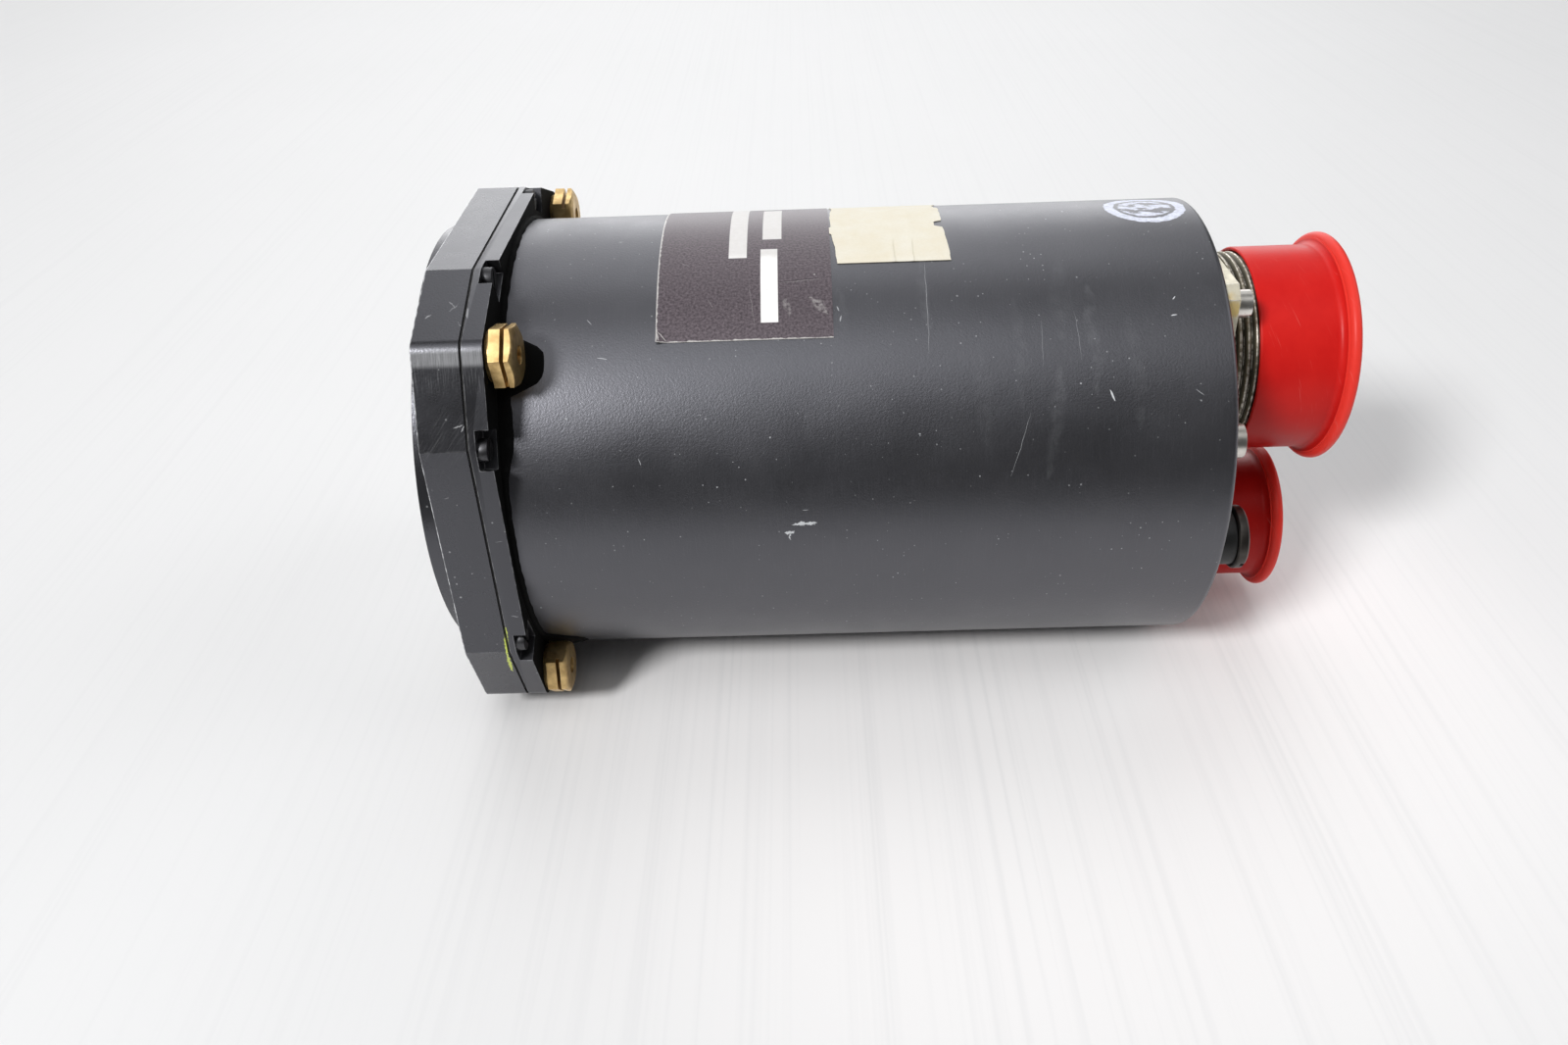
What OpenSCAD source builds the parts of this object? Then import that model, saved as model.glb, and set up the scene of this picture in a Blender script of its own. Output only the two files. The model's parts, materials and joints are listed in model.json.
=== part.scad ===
// Radio magnetic indicator: a round aircraft compass repeater with two bearing pointers.
// +X runs rearwards along the instrument's axis and +Z is the top of the dial.
// The origin is the centre of the mounting face, which lies against the back of the panel.

/* [Panel fit] */
// Outside diameter of the case
case_d = 79.375; // [76:0.025:90]
// How far each flat of the bezel stands outside the case
flat_reach = 1.5875; // [1.2:0.0125:3]
// Length of each of the four main flats
flat_len = 40; // [34:0.5:44]
// Distance from the case to the centre of a mounting hole
hole_reach = 4.7625; // [4.7:0.0125:5.5]
// Diameter of a mounting hole
mount_hole_d = 3.8; // [3.5:0.1:4.4]
// How far each corner stands outside its hole, along either side
corner_margin = 3.7; // [3.5:0.1:5]
// Radius of the rounded corners
corner_r = 3; // [1:0.5:4]
// How far the side of the nose lies inside the case's outline
nose_inset = 0.6575; // [0.4:0.0025:1.2]
// How far the nose stands proud of the mounting face
nose_reach = 3; // [2.4:0.1:4.5]
// Radius of the nose's front edge
nose_edge_r = 1; // [0.3:0.1:1.4]

/* [Bezel and flange] */
// Thickness of the bezel behind the panel
bezel_t = 7.5; // [6.8:0.1:10]
// Thickness of the gasket between bezel and flange
gasket_t = 0.4; // [0.2:0.1:1]
// How far the gasket's edge lies inside the outline
gasket_inset = 0.3; // [0:0.1:0.8]
// Thickness of the flange
flange_t = 3.3; // [3:0.1:4.5]
// Width of the notch over each bezel screw
notch_w = 6.4; // [5:0.1:8]
// Depth of the notch from the flange's rear face
notch_depth = 2.2; // [1.8:0.1:2.5]
// How far the notch reaches in from the flat's end
notch_reach = 4.6; // [4.4:0.1:5.2]
// How far a bezel screw lies in from the flat's end
bezel_screw_inset = 2.45; // [2.3:0.05:2.6]
// Head diameter of a bezel screw
bezel_screw_head_d = 3.8; // [3:0.1:4]
// Head height of a bezel screw
bezel_screw_head_t = 1.5; // [1.2:0.1:1.8]
// Shank diameter of a bezel screw
bezel_screw_d = 2.1; // [1.6:0.1:2.4]
// Length of a bezel screw's shank
bezel_screw_len = 5.6; // [4:0.1:6.5]

/* [Mounting nuts] */
// Across the flats of a mounting nut
nut_af = 9.2; // [8.4:0.1:9.3]
// Length of the nut's hexagon
nut_t = 3.8; // [3:0.1:5]
// Height of the chamfered end of the hexagon
nut_chamfer = 0.7; // [0.3:0.1:1]
// Thickness of the round collar under the hexagon
nut_collar_t = 0.75; // [0.5:0.05:1.5]
// Diameter of the collar
nut_collar_d = 8.2; // [7.4:0.1:9]
// Diameter of the shank pressed into the flange
nut_shank_d = 6; // [5.2:0.1:6.4]
// Length of that shank
nut_shank_len = 3; // [2:0.1:3.2]
// Diameter of the threaded bore
nut_bore_d = 3; // [2.9:0.1:3.6]
// Width of the saw slot that locks the thread
nut_slot = 0.6; // [0.4:0.1:1]
// Distance from the collar to the slot
nut_slot_at = 1.8; // [1.2:0.1:2]

/* [Case] */
// Thickness of the case wall
can_wall = 1.2; // [0.9:0.1:1.4]
// Distance from the mounting face to the case's rear face
body_len = 128.4; // [124:0.1:136]
// Thickness of the case's rear wall
rear_wall = 1.5; // [1.2:0.1:2.5]
// Radius of the case's rear edge
rear_edge_r = 1; // [0.5:0.1:1.4]
// Length of the flange's spigot inside the case
spigot_len = 8.6; // [8:0.1:10]
// Wall of the spigot
spigot_wall = 1.6; // [1.2:0.1:1.8]

/* [Labels] */
// Length of the nameplate along the axis
nameplate_len = 28.5; // [24:0.5:30]
// Distance from the mounting face to the nameplate
nameplate_at = 36.4; // [30:0.1:36.8]
// Arc that the nameplate covers, in degrees
nameplate_arc = 81.4; // [60:0.2:90]
// Thickness of the nameplate foil
nameplate_t = 0.25; // [0.1:0.05:0.5]
// Length of the paper sticker along the axis
sticker_len = 19; // [14:0.5:22]
// Distance from the mounting face to the sticker
sticker_at = 66; // [65.5:0.1:72]
// Lowest angle of the sticker on the near side, in degrees
sticker_from = 70.3; // [60:0.1:80]
// Arc that the sticker covers, in degrees
sticker_arc = 46; // [30:0.5:60]
// Thickness of the paper
sticker_t = 0.15; // [0.1:0.05:0.3]

/* [Window] */
// How far the edge of the cover glass lies inside the case's outline
glass_inset = 3.6875; // [3.4:0.0125:4.5]
// How far the lip reaches over the glass
lip_reach = 2; // [1.5:0.1:3]
// Thickness of the cover glass
glass_t = 2.5; // [1.8:0.1:2.8]
// Thickness of the lip in front of the glass
lip_t = 1.6; // [1.5:0.1:2]
// Thickness of the glass gasket
glass_gasket_t = 0.4; // [0.2:0.1:0.8]
// Thickness of the snap ring that holds the glass
retainer_t = 1; // [0.8:0.1:1.2]
// Depth of the snap ring's groove
groove_depth = 0.9; // [0.5:0.1:1]
// Radial width of the snap ring
retainer_w = 2; // [1.6:0.1:2.6]
// Diameter of a lighting lamp
lamp_d = 3; // [2.4:0.1:3.2]
// Length of a lamp
lamp_len = 4.1; // [3:0.1:4.2]

/* [Dial] */
// Width of the dial mask, from its skirt to its opening
mask_w = 5.2; // [4.8:0.1:6]
// Thickness of the dial mask
mask_t = 0.8; // [0.5:0.1:1]
// Gap between the snap ring and the mask
mask_gap = 1.2; // [0.8:0.1:1.4]
// Height of the white lubber index
index_h = 3.2; // [2:0.1:3.6]
// Thickness of the lubber index
index_t = 0.25; // [0.2:0.05:0.4]
// How far the compass card reaches behind the mask
card_overlap = 0.8; // [0.4:0.1:1]
// Thickness of the compass card
card_t = 0.8; // [0.6:0.1:1]
// Thickness of the warning flag and of its gap to the mask
flag_t = 0.3; // [0.2:0.05:0.35]
// Angle that the flag swings through, in degrees
flag_swing = 62; // [40:1:66]
// Arc that the flag covers behind the mask, in degrees
flag_arc = 18; // [10:1:20]
// Diameter of the flag's spindle
flag_spindle_d = 1.2; // [1:0.1:1.4]
// Gap between the flag, the pointers and the card
layer_gap = 0.6; // [0.4:0.05:0.8]
// Thickness of a pointer
pointer_t = 0.6; // [0.4:0.1:0.8]
// Distance from the tip of the single-bar pointer to the mask's opening
pointer_one_short = 3.2; // [1:0.1:6]
// Distance from the tip of the double-bar pointer to the mask's opening
pointer_two_short = 4.2; // [1:0.1:6]
// Diameter of the pointers' hubs
pointer_hub_d = 6.4; // [5:0.1:8]
// Angle of the single-bar pointer at rest, in degrees
pointer_one_angle = 62; // [0:1:359]
// Angle of the double-bar pointer at rest, in degrees
pointer_two_angle = 214; // [0:1:359]

/* [Shafts and bearings] */
// Diameter of the inner pointer shaft
pointer_one_shaft_d = 2.3; // [2:0.1:2.4]
// Outside diameter of the hollow pointer shaft
pointer_two_shaft_d = 4.3; // [4:0.1:4.6]
// Diameter of the synchro, motor and idler shafts
gear_shaft_d = 2.4; // [2:0.1:3]
// Radial thickness of a pointer bearing
pointer_bearing_w = 1.2; // [0.8:0.1:1.4]
// Wall of the boss that carries both sets of bearings
boss_wall = 1.5; // [1.2:0.1:2]
// Radial thickness of a compass card bearing
card_bearing_w = 1; // [0.8:0.1:1.4]
// Length of a bearing
bearing_len = 1.4; // [1:0.1:1.6]
// Wall of the card gear's hub
card_hub_wall = 1.6; // [1.2:0.1:2]
// Wall of a bushing
bushing_wall = 0.9; // [0.6:0.1:1.2]

/* [Gear train] */
// Distance from the outermost gear teeth to the mask's skirt
gear_side_gap = 1.16; // [0.5:0.02:2]
// Teeth on the compass card gear and the synchro gears
card_teeth = 40; // [36:2:44]
// Teeth on the motor pinion and the idler pinion
pinion_teeth = 14; // [13:1:15]
// Teeth on the idler wheel
wheel_teeth = 36; // [32:2:38]
// Thickness of the gears
gear_t = 2; // [1.4:0.1:2.2]
// Backlash along the pitch circle
backlash = 0.12; // [0.08:0.02:0.2]

/* [Chassis] */
// Thickness of the front, middle and rear plates
plate_t = 3; // [2.4:0.1:3.6]
// Gap between the card gear and the front plate
front_bay = 2.5; // [2:0.1:3]
// Gap between the front plate and the middle plate
gear_bay = 10.4; // [10:0.1:14]
// How far the centres of the front posts lie inside the plates' edge
front_post_inset = 5; // [4.8:0.1:6]
// Diameter of the front posts
front_post_d = 5; // [4:0.1:5.4]
// Diameter of the studs and screws that join posts and plates
stud_d = 2.6; // [2:0.1:3]
// Head diameter of a plate screw
plate_screw_head_d = 4.4; // [3.8:0.1:5]
// Diameter of the outer synchros and the motor
synchro_d = 19.05; // [18:0.05:19.1]
// Gap between the outer synchros' tails and the rear plate
synchro_tail_gap = 15; // [10:0.5:20]
// Gap between the synchro on the axis and the others
synchro_gap = 0.575; // [0.3:0.025:1.5]
// Gap between the axis synchro's tail and the rear plate
axis_tail_gap = 10; // [6:0.5:16]
// Diameter of a synchro's front pilot
pilot_d = 9; // [8:0.1:10]
// Diameter of a synchro screw's head
synchro_screw_head_d = 2.6; // [2.2:0.1:2.8]
// Diameter of the flag meter
flag_meter_d = 7; // [6:0.1:7.2]
// Length of the flag meter
flag_meter_len = 8; // [6:0.1:9]

/* [Electronics] */
// Gap between the circuit boards and the rear posts
board_gap = 1.1; // [0.5:0.1:4]
// Thickness of the circuit boards
board_t = 1.6; // [1.2:0.1:2]
// Length of the board spacers
spacer_len = 7.4; // [6:0.1:9]
// Gap between the two boards
board_bay = 10.4; // [9.6:0.1:12]
// Gap between the rear board and the case's rear wall
rear_bay = 24.9; // [20:0.1:30]
// How far the centres of the board spacers lie inside the boards' edge
spacer_inset = 4; // [3:0.1:6]
// Diameter of the board spacers
spacer_d = 4; // [3:0.1:5]
// Diameter of the wire bundles
bundle_d = 2.4; // [1.6:0.1:3]
// Gap between the transformer and the main connector's rear end
transformer_gap = 5.5; // [3:0.1:8]

/* [Main connector] */
// Gap between the main connector's flange and the jam nut below it
connector_gap = 2.76; // [1:0.02:3.2]
// How far its square flange stands outside its thread
main_flange_reach = 3.18; // [3:0.02:3.3]
// Corner cut of the flange
main_flange_cut = 2; // [1.8:0.1:4]
// Thickness of the flange
main_flange_t = 2.3; // [1.8:0.1:3.5]
// How far the centres of its screws lie inside the flange's sides
main_screw_inset = 4.765; // [4.4:0.005:5]
// Outside diameter of its thread
main_thread_d = 34.92; // [34:0.04:35.2]
// Distance from the case to the mouth of its barrel
main_barrel_len = 18.1; // [17:0.1:22]
// Thickness of its barrel, over the thread
main_barrel_wall = 2.26; // [1.9:0.02:3]
// Depth of the socket inside the barrel
main_socket_depth = 10.4; // [9:0.1:12]
// Distance between contacts
main_pin_pitch = 6.2; // [5.4:0.1:6.3]
// Diameter of a contact
main_pin_d = 1.6; // [1.2:0.1:2]
// Length of the connector inside the case
main_rear_len = 9.4; // [8:0.1:11]
// Distance from the case to the red cap's near edge
main_cap_at = 8.67; // [6:0.01:10]

/* [Small connector] */
// Gap between its shoulder and the case wall
small_edge_gap = 2.0275; // [1.6:0.0025:3]
// Outside diameter of its thread
small_thread_d = 22.1; // [21:0.05:22.4]
// Distance from the case to the mouth of its barrel
small_barrel_len = 14.2; // [14:0.1:18]
// Thickness of its barrel, over the thread
small_barrel_wall = 1.75; // [1.5:0.05:2.2]
// Depth of the socket inside the barrel
small_socket_depth = 9; // [8:0.1:10]
// Distance between contacts
small_pin_pitch = 5.4; // [4.6:0.1:5.6]
// Diameter of a contact
small_pin_d = 1.6; // [1.2:0.1:2]
// Across the flats of the jam nut
jam_nut_af = 26; // [25:0.1:26.6]
// Thickness of the jam nut
jam_nut_t = 2.8; // [2:0.1:3.2]
// Diameter of the shoulder inside the case
shoulder_d = 26.8; // [25:0.1:27.6]
// Thickness of the shoulder
shoulder_t = 2; // [1.4:0.1:3]
// Length of the connector inside the case
small_rear_len = 8.4; // [7:0.1:10]
// Distance from the case to the small red cap's near edge
small_cap_at = 3.8; // [3.3:0.1:5]

/* [Caps] */
// Thickness of a cap's wall
cap_wall = 0.75; // [0.5:0.05:1]
// How far a cap's rim stands outside its wall
cap_rim_reach = 2.17; // [1.6:0.01:2.5]
// Length of a cap's closed end beyond its barrel's mouth
cap_headroom = 4.5; // [4.3:0.1:6]
// Thickness of a cap's closed end
cap_end_t = 1.5; // [1:0.1:2.5]
// Radius of the bead round a cap's rim
cap_bead_r = 0.95; // [0.6:0.05:1]

/* [Rear fittings] */
// How far the centres of the rear screws lie inside the case's outline
rear_screw_inset = 7.5875; // [7.2:0.0125:9]
// Angle of the upper rear screws above the horizontal, in degrees
rear_screw_up = 20.8; // [16:0.2:24]
// Angle of the lower rear screws below the horizontal, in degrees
rear_screw_down = 35; // [34:0.5:40]
// Head diameter of a rear screw
rear_screw_head_d = 5.74; // [5:0.02:6.4]
// Head height of a rear screw
rear_screw_head_t = 2.9; // [2:0.1:3.4]
// Diameter of the rear posts
rear_post_d = 6; // [5.4:0.1:6.6]
// How far the centre of the purge valve lies inside the case's outline
purge_inset = 7.7375; // [7.2:0.0125:9]
// Angle of the purge valve below the horizontal, in degrees
purge_down = 12.5; // [11:0.5:14]
// Diameter of the purge valve's body
purge_body_d = 9.4; // [8:0.1:10]
// Height of the purge valve's body
purge_body_h = 3.5; // [2.5:0.1:5]
// Diameter of the purge valve's cap
purge_cap_d = 10.8; // [9:0.1:11]
// Height of the purge valve's cap
purge_cap_h = 1.8; // [1.2:0.1:3]

/* [Clearances] */
// Radial gap of a fixed fit
seat_gap = 0.05; // [0.02:0.01:0.1]
// Radial gap of a turning or sliding fit
run_gap = 0.04; // [0.02:0.01:0.08]

/* [Hidden] */
$fn = 96;
through = 1;
pressure_angle = 20;

// Across the axis
case_r = case_d / 2;
half_af = case_r + flat_reach;
half_flat = flat_len / 2;
hole_xy = (case_r + hole_reach) / sqrt(2);
nose_r = case_r - nose_inset;
glass_r = case_r - glass_inset;
window_r = glass_r - lip_reach;
can_bore_r = case_r - can_wall;
spigot_r = can_bore_r - seat_gap;
flange_bore_r = spigot_r - spigot_wall;
chassis_r = flange_bore_r - seat_gap;
glass_bore_r = glass_r + 3 * seat_gap;
skirt_wall = 0.8;
skirt_side_gap = 0.75;
skirt_r = glass_bore_r - skirt_side_gap;
skirt_bore_r = skirt_r - skirt_wall;
mask_window_r = skirt_r - mask_w;
card_r = mask_window_r + card_overlap;
flag_pivot = polar((card_r + skirt_bore_r) / 2, 130);
lamp_r = glass_bore_r + 1.2;

// Along the axis, from the front to the rear
flange_front = bezel_t + gasket_t;
flange_rear = flange_front + flange_t;
lip_rear = -nose_reach + lip_t;
glass_front = lip_rear + glass_gasket_t;
glass_rear = glass_front + glass_t;
retainer_rear = glass_rear + retainer_t;
mask_front = retainer_rear + mask_gap;
mask_rear = mask_front + mask_t;
flag_front = mask_rear + flag_t;
pointer_one_front = flag_front + flag_t + layer_gap;
pointer_two_front = pointer_one_front + pointer_t + layer_gap;
card_front = pointer_two_front + pointer_t + layer_gap;
card_rear = card_front + card_t;
card_gear_gap = 2.2;
card_hub_tail = 1;
card_gear_front = card_rear + card_gear_gap;
card_gear_rear = card_gear_front + gear_t + card_hub_tail;
front_plate_x = card_gear_rear + front_bay - card_hub_tail;
front_plate_rear = front_plate_x + plate_t;
pointer_gear_gap = 1.3;
wheel_gap = 2;
pointer_gear_x = front_plate_rear + pointer_gear_gap;
wheel_x = pointer_gear_x + gear_t + wheel_gap;
middle_plate_x = front_plate_rear + gear_bay;
middle_plate_rear = middle_plate_x + plate_t;
can_inside = body_len - rear_wall;
board_two_rear = can_inside - rear_bay;
board_two_x = board_two_rear - board_t;
board_one_x = board_two_x - board_bay - board_t;
rear_plate_rear = board_one_x - spacer_len;
rear_plate_x = rear_plate_rear - plate_t;
synchro_len = rear_plate_x - middle_plate_rear - synchro_tail_gap;
axis_synchro_len = rear_plate_x - middle_plate_rear - axis_tail_gap;
transformer_h = rear_bay - main_rear_len - transformer_gap;

// Shafts, bearings and gears
pointer_two_r = pointer_two_shaft_d / 2;
pointer_bearing_r = pointer_two_r + run_gap + pointer_bearing_w;
boss_r = pointer_bearing_r + seat_gap + boss_wall;
card_bearing_r = boss_r + seat_gap + card_bearing_w;
card_bore_r = card_bearing_r + run_gap;
tooth_height = 0.8;
tooth_depth = 1.1;
train_spacing = (skirt_bore_r - gear_side_gap) / (1.5 + tooth_height / card_teeth);
gear_module = train_spacing / card_teeth;
axis_synchro_d = 2 * (train_spacing - synchro_gap) - synchro_d;
pinion_pitch_r = pinion_teeth * gear_module / 2;
wheel_pitch_r = wheel_teeth * gear_module / 2;
idler_from_axis = train_spacing / 2 + pinion_pitch_r;
idler_from_motor = wheel_pitch_r + pinion_pitch_r;
idler_turn = acos((pow(idler_from_axis, 2) + pow(train_spacing, 2) - pow(idler_from_motor, 2))
    / (2 * idler_from_axis * train_spacing));
synchro_two_angle = 90;
card_synchro_angle = 210;
motor_angle = 330;
idler_angle = motor_angle - idler_turn;
synchro_two_at = polar(train_spacing, synchro_two_angle);
card_synchro_at = polar(train_spacing, card_synchro_angle);
motor_at = polar(train_spacing, motor_angle);
idler_at = polar(idler_from_axis, idler_angle);
wheel_phase = 0;
idler_to_motor = atan2(motor_at[1] - idler_at[1], motor_at[0] - idler_at[0]);

// Places that repeat
hole_points = [for (k = [0:3]) turn([hole_xy, hole_xy], 90 * k)];
fold_points = [for (k = [0:3]) for (p = [[half_flat, half_af], [half_af, half_flat]]) turn(p, 90 * k)];
bezel_screw_points = [for (p = fold_points) p * (1 - bezel_screw_inset / norm(p))];
lamp_points = [for (k = [0:3]) polar(lamp_r, 45 + 90 * k)];
front_post_points = [for (a = [35, 145, 270]) polar(chassis_r - front_post_inset, a)];
rear_screw_r = case_r - rear_screw_inset;
rear_post_points = [for (a = [rear_screw_up, 180 - rear_screw_up, 180 + rear_screw_down, -rear_screw_down])
    polar(rear_screw_r, a)];
board_r = rear_screw_r - rear_post_d / 2 - board_gap;
spacer_points = [for (a = [50, 170, 290]) polar(board_r - spacer_inset, a)];
transistor_inset = 12.4;
capacitor_inset = 10;
transistor_points = [for (a = [40, 146, 207, 320]) polar(board_r - transistor_inset, a)];
capacitor_points = [for (a = [3, 90, 177, 270]) polar(board_r - capacitor_inset, a)];
synchro_points = [synchro_two_at, card_synchro_at, motor_at];
purge_at = polar(case_r - purge_inset, 180 + purge_down);
small_at = [0, shoulder_d / 2 + small_edge_gap - can_bore_r];
main_flange_half = main_thread_d / 2 + main_flange_reach;
main_at = [0, small_at[1] + jam_nut_af / 2 + connector_gap + main_flange_half];
main_screw_xy = main_flange_half - main_screw_inset;
main_screw_points = [for (k = [0:3]) main_at + turn([main_screw_xy, main_screw_xy], 90 * k)];
main_barrel_r = main_thread_d / 2 - main_barrel_wall;
small_barrel_r = small_thread_d / 2 - small_barrel_wall;

// Screws and studs
stud_hole_r = stud_d / 2 + seat_gap;
plate_screw_head_t = 1.3;
plate_screw_len = 7;
synchro_screw_d = 1.6;
synchro_screw_head_t = 1.2;
synchro_screw_len = 6;
connector_screw_d = 2.6;
connector_screw_head_d = 4.65;
connector_screw_head_t = 2.4;
washer_t = 0.7;
washer_d = 5.4;
main_thread_pitch = 1.411;
small_thread_pitch = 1.27;
main_rear_step = 1.1;
insert_inset = 0.55;
rear_screw_d = 3.5;
rear_screw_len = 8;

function polar(r, a) = [r * cos(a), r * sin(a)];
function turn(p, a) = [p[0] * cos(a) - p[1] * sin(a), p[0] * sin(a) + p[1] * cos(a)];
function arc(centre, r, from, to, steps = 6) =
    [for (i = [0:steps]) centre + polar(r, from + (to - from) * i / steps)];
function involute(a) = tan(a) * 180 / PI - a;

// Half the angle that a tooth covers at radius r
function tooth_half(teeth, r) =
    let (pitch_r = teeth * gear_module / 2, base_r = pitch_r * cos(pressure_angle))
    90 / teeth - backlash / 4 / pitch_r * 180 / PI
    + involute(pressure_angle) - involute(acos(base_r / max(r, base_r)));

// Outline of a spur gear with stub teeth, one of them at the phase angle
function gear_outline(teeth, phase) =
    let (
        pitch_r = teeth * gear_module / 2,
        root_r = pitch_r - tooth_depth * gear_module,
        tip_r = pitch_r + tooth_height * gear_module,
        flank = [root_r, pitch_r, tip_r])
    [for (i = [0:teeth - 1]) let (mid = phase + 360 * i / teeth)
        each concat(
            [for (j = [0:2]) polar(flank[j], mid - tooth_half(teeth, flank[j]))],
            [for (j = [2:-1:0]) polar(flank[j], mid + tooth_half(teeth, flank[j]))])];

// Phase of a gear that meshes, at the given angle, with a gear of known phase
function mesh_phase(angle, teeth, phase, mate_teeth) =
    angle + 180 - 360 / mate_teeth * (0.5 - (angle - phase) * teeth / 360);

// Points of a hexagonal field of contacts
function contact_field(rings, pitch) =
    [for (i = [-rings:rings]) for (j = [-rings:rings])
        if (abs(i + j) <= rings) [i * pitch + j * pitch / 2, j * pitch * sqrt(3) / 2]];

// Places children on the axis through p, drawn across the axis and rising rearwards
module axial(x, p = [0, 0]) {
    translate([x, p[0], p[1]]) rotate([90, 0, 90]) children();
}

// As axial, with the children's own X axis pointing away from the instrument's axis
module outward(x, p) {
    axial(x, p) rotate(atan2(p[1], p[0])) children();
}

module rod(x0, x1, r, p = [0, 0]) {
    axial(x0, p) cylinder(h = x1 - x0, r = r);
}

module bore(x0, x1, r, p = [0, 0]) {
    rod(x0 - through, x1 + through, r, p);
}

module ring(x0, x1, r_out, r_in, p = [0, 0]) {
    difference() {
        rod(x0, x1, r_out, p);
        bore(x0, x1, r_in, p);
    }
}

// Turns a profile of [radius, x] points about the axis through p
module turned(profile, p = [0, 0]) {
    axial(0, p) rotate_extrude() polygon(profile);
}

module gear(x, teeth, phase, p = [0, 0]) {
    axial(x, p) linear_extrude(gear_t) polygon(gear_outline(teeth, phase));
}

// Plate with the bezel's outline: four flats, with two facets and a rounded corner between them
module outline_plate(x0, x1, inset = 0) {
    flat = half_af - inset;
    corner = hole_xy + corner_margin - inset;
    lean = atan2(flat - corner, corner - half_flat);
    run = corner_r / tan(45 + lean);
    centre = corner - corner_r / sin(45 + lean) / sqrt(2);
    quarter = [
        [half_flat, flat],
        [corner - run * cos(lean), corner + run * sin(lean)],
        [corner + run * sin(lean), corner - run * cos(lean)],
        [flat, half_flat]];
    union() {
        axial(x0) linear_extrude(x1 - x0) polygon([for (k = [0:3]) for (p = quarter) turn(p, -90 * k)]);
        for (k = [0:3]) rod(x0, x1, corner_r, turn([centre, centre], 90 * k));
    }
}

// Fillister screw with a slotted head that stands rearwards of x
module rear_facing_screw(x, p, d, len, head_d, head_t, slot_angle = 0) {
    slot_w = head_d * 0.16;
    slot_depth = head_t * 0.4;
    rod(x - len, x, d / 2, p);
    difference() {
        rod(x, x + head_t, head_d / 2, p);
        axial(x + head_t - slot_depth, p) rotate(slot_angle)
            translate([-head_d, -slot_w / 2, 0]) cube([2 * head_d, slot_w, head_t]);
    }
}

// The same screw with its head forwards of x
module front_facing_screw(x, p, d, len, head_d, head_t) {
    rod(x, x + len, d / 2, p);
    rod(x - head_t, x, head_d / 2, p);
}

module bezel() {
    groove_r = glass_bore_r + groove_depth;
    color([0.07, 0.07, 0.08]) difference() {
        union() {
            outline_plate(0, bezel_t);
            turned(concat(
                [[0, bezel_t / 2], [0, -nose_reach]],
                arc([nose_r - nose_edge_r, -nose_reach + nose_edge_r], nose_edge_r, -90, 0),
                [[nose_r, bezel_t / 2]]));
        }
        turned([
            [0, -nose_reach - through], [window_r + lip_t / 2 + through, -nose_reach - through],
            [window_r, -nose_reach + lip_t / 2], [window_r, bezel_t + through], [0, bezel_t + through]]);
        rod(lip_rear, bezel_t + through, glass_bore_r);
        rod(glass_rear, retainer_rear, groove_r);
        for (p = hole_points) bore(0, bezel_t, mount_hole_d / 2, p);
        for (p = lamp_points) rod(bezel_t - lamp_len - seat_gap, bezel_t + through, lamp_d / 2 + seat_gap, p);
        for (p = bezel_screw_points)
            rod(flange_rear - notch_depth - bezel_screw_len - through / 2, bezel_t + through,
                bezel_screw_d / 2 + seat_gap, p);
    }
}

module bezel_gasket() {
    color([0.03, 0.03, 0.03]) difference() {
        outline_plate(bezel_t, flange_front, gasket_inset);
        bore(bezel_t, flange_front, flange_bore_r);
        for (p = hole_points) bore(bezel_t, flange_front, mount_hole_d / 2, p);
        for (p = bezel_screw_points) bore(bezel_t, flange_front, bezel_screw_d / 2 + seat_gap, p);
    }
}

module mounting_flange() {
    notch_floor = flange_rear - notch_depth;
    color([0.07, 0.07, 0.08]) difference() {
        union() {
            outline_plate(flange_front, flange_rear);
            rod(flange_front, flange_rear + spigot_len, spigot_r);
        }
        bore(flange_front, flange_rear + spigot_len, flange_bore_r);
        for (p = hole_points) bore(flange_front, flange_rear, nut_shank_d / 2 + seat_gap, p);
        for (p = bezel_screw_points) bore(flange_front, notch_floor, bezel_screw_d / 2 + seat_gap, p);
        for (p = fold_points) outward(notch_floor, p)
            translate([-notch_reach, -notch_w / 2, 0])
                cube([notch_reach + through, notch_w, notch_depth + through]);
    }
}

module bezel_screws() {
    color([0.4, 0.4, 0.42]) for (i = [0:7])
        rear_facing_screw(flange_rear - notch_depth, bezel_screw_points[i], bezel_screw_d, bezel_screw_len,
            bezel_screw_head_d, bezel_screw_head_t, 25 * i);
}

module mounting_nuts() {
    hex_r = nut_af / 2 / cos(30);
    top = nut_collar_t + nut_t;
    color([0.72, 0.56, 0.28]) for (p = hole_points) outward(flange_rear, p) difference() {
        union() {
            translate([0, 0, -nut_shank_len]) cylinder(h = nut_shank_len + nut_collar_t, r = nut_shank_d / 2);
            cylinder(h = nut_collar_t, r = nut_collar_d / 2);
            intersection() {
                translate([0, 0, nut_collar_t]) rotate(30) cylinder(h = nut_t, r = hex_r, $fn = 6);
                rotate_extrude() polygon([
                    [0, 0], [hex_r + through, 0], [hex_r + through, top - nut_chamfer],
                    [hex_r, top - nut_chamfer], [nut_af / 2 - nut_chamfer, top], [0, top]]);
            }
        }
        translate([0, 0, -nut_shank_len - through])
            cylinder(h = top + nut_shank_len + 2 * through, r = nut_bore_d / 2);
        translate([-nut_bore_d / 4, -nut_af, nut_collar_t + nut_slot_at])
            cube([nut_af, 2 * nut_af, nut_slot]);
    }
}

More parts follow.
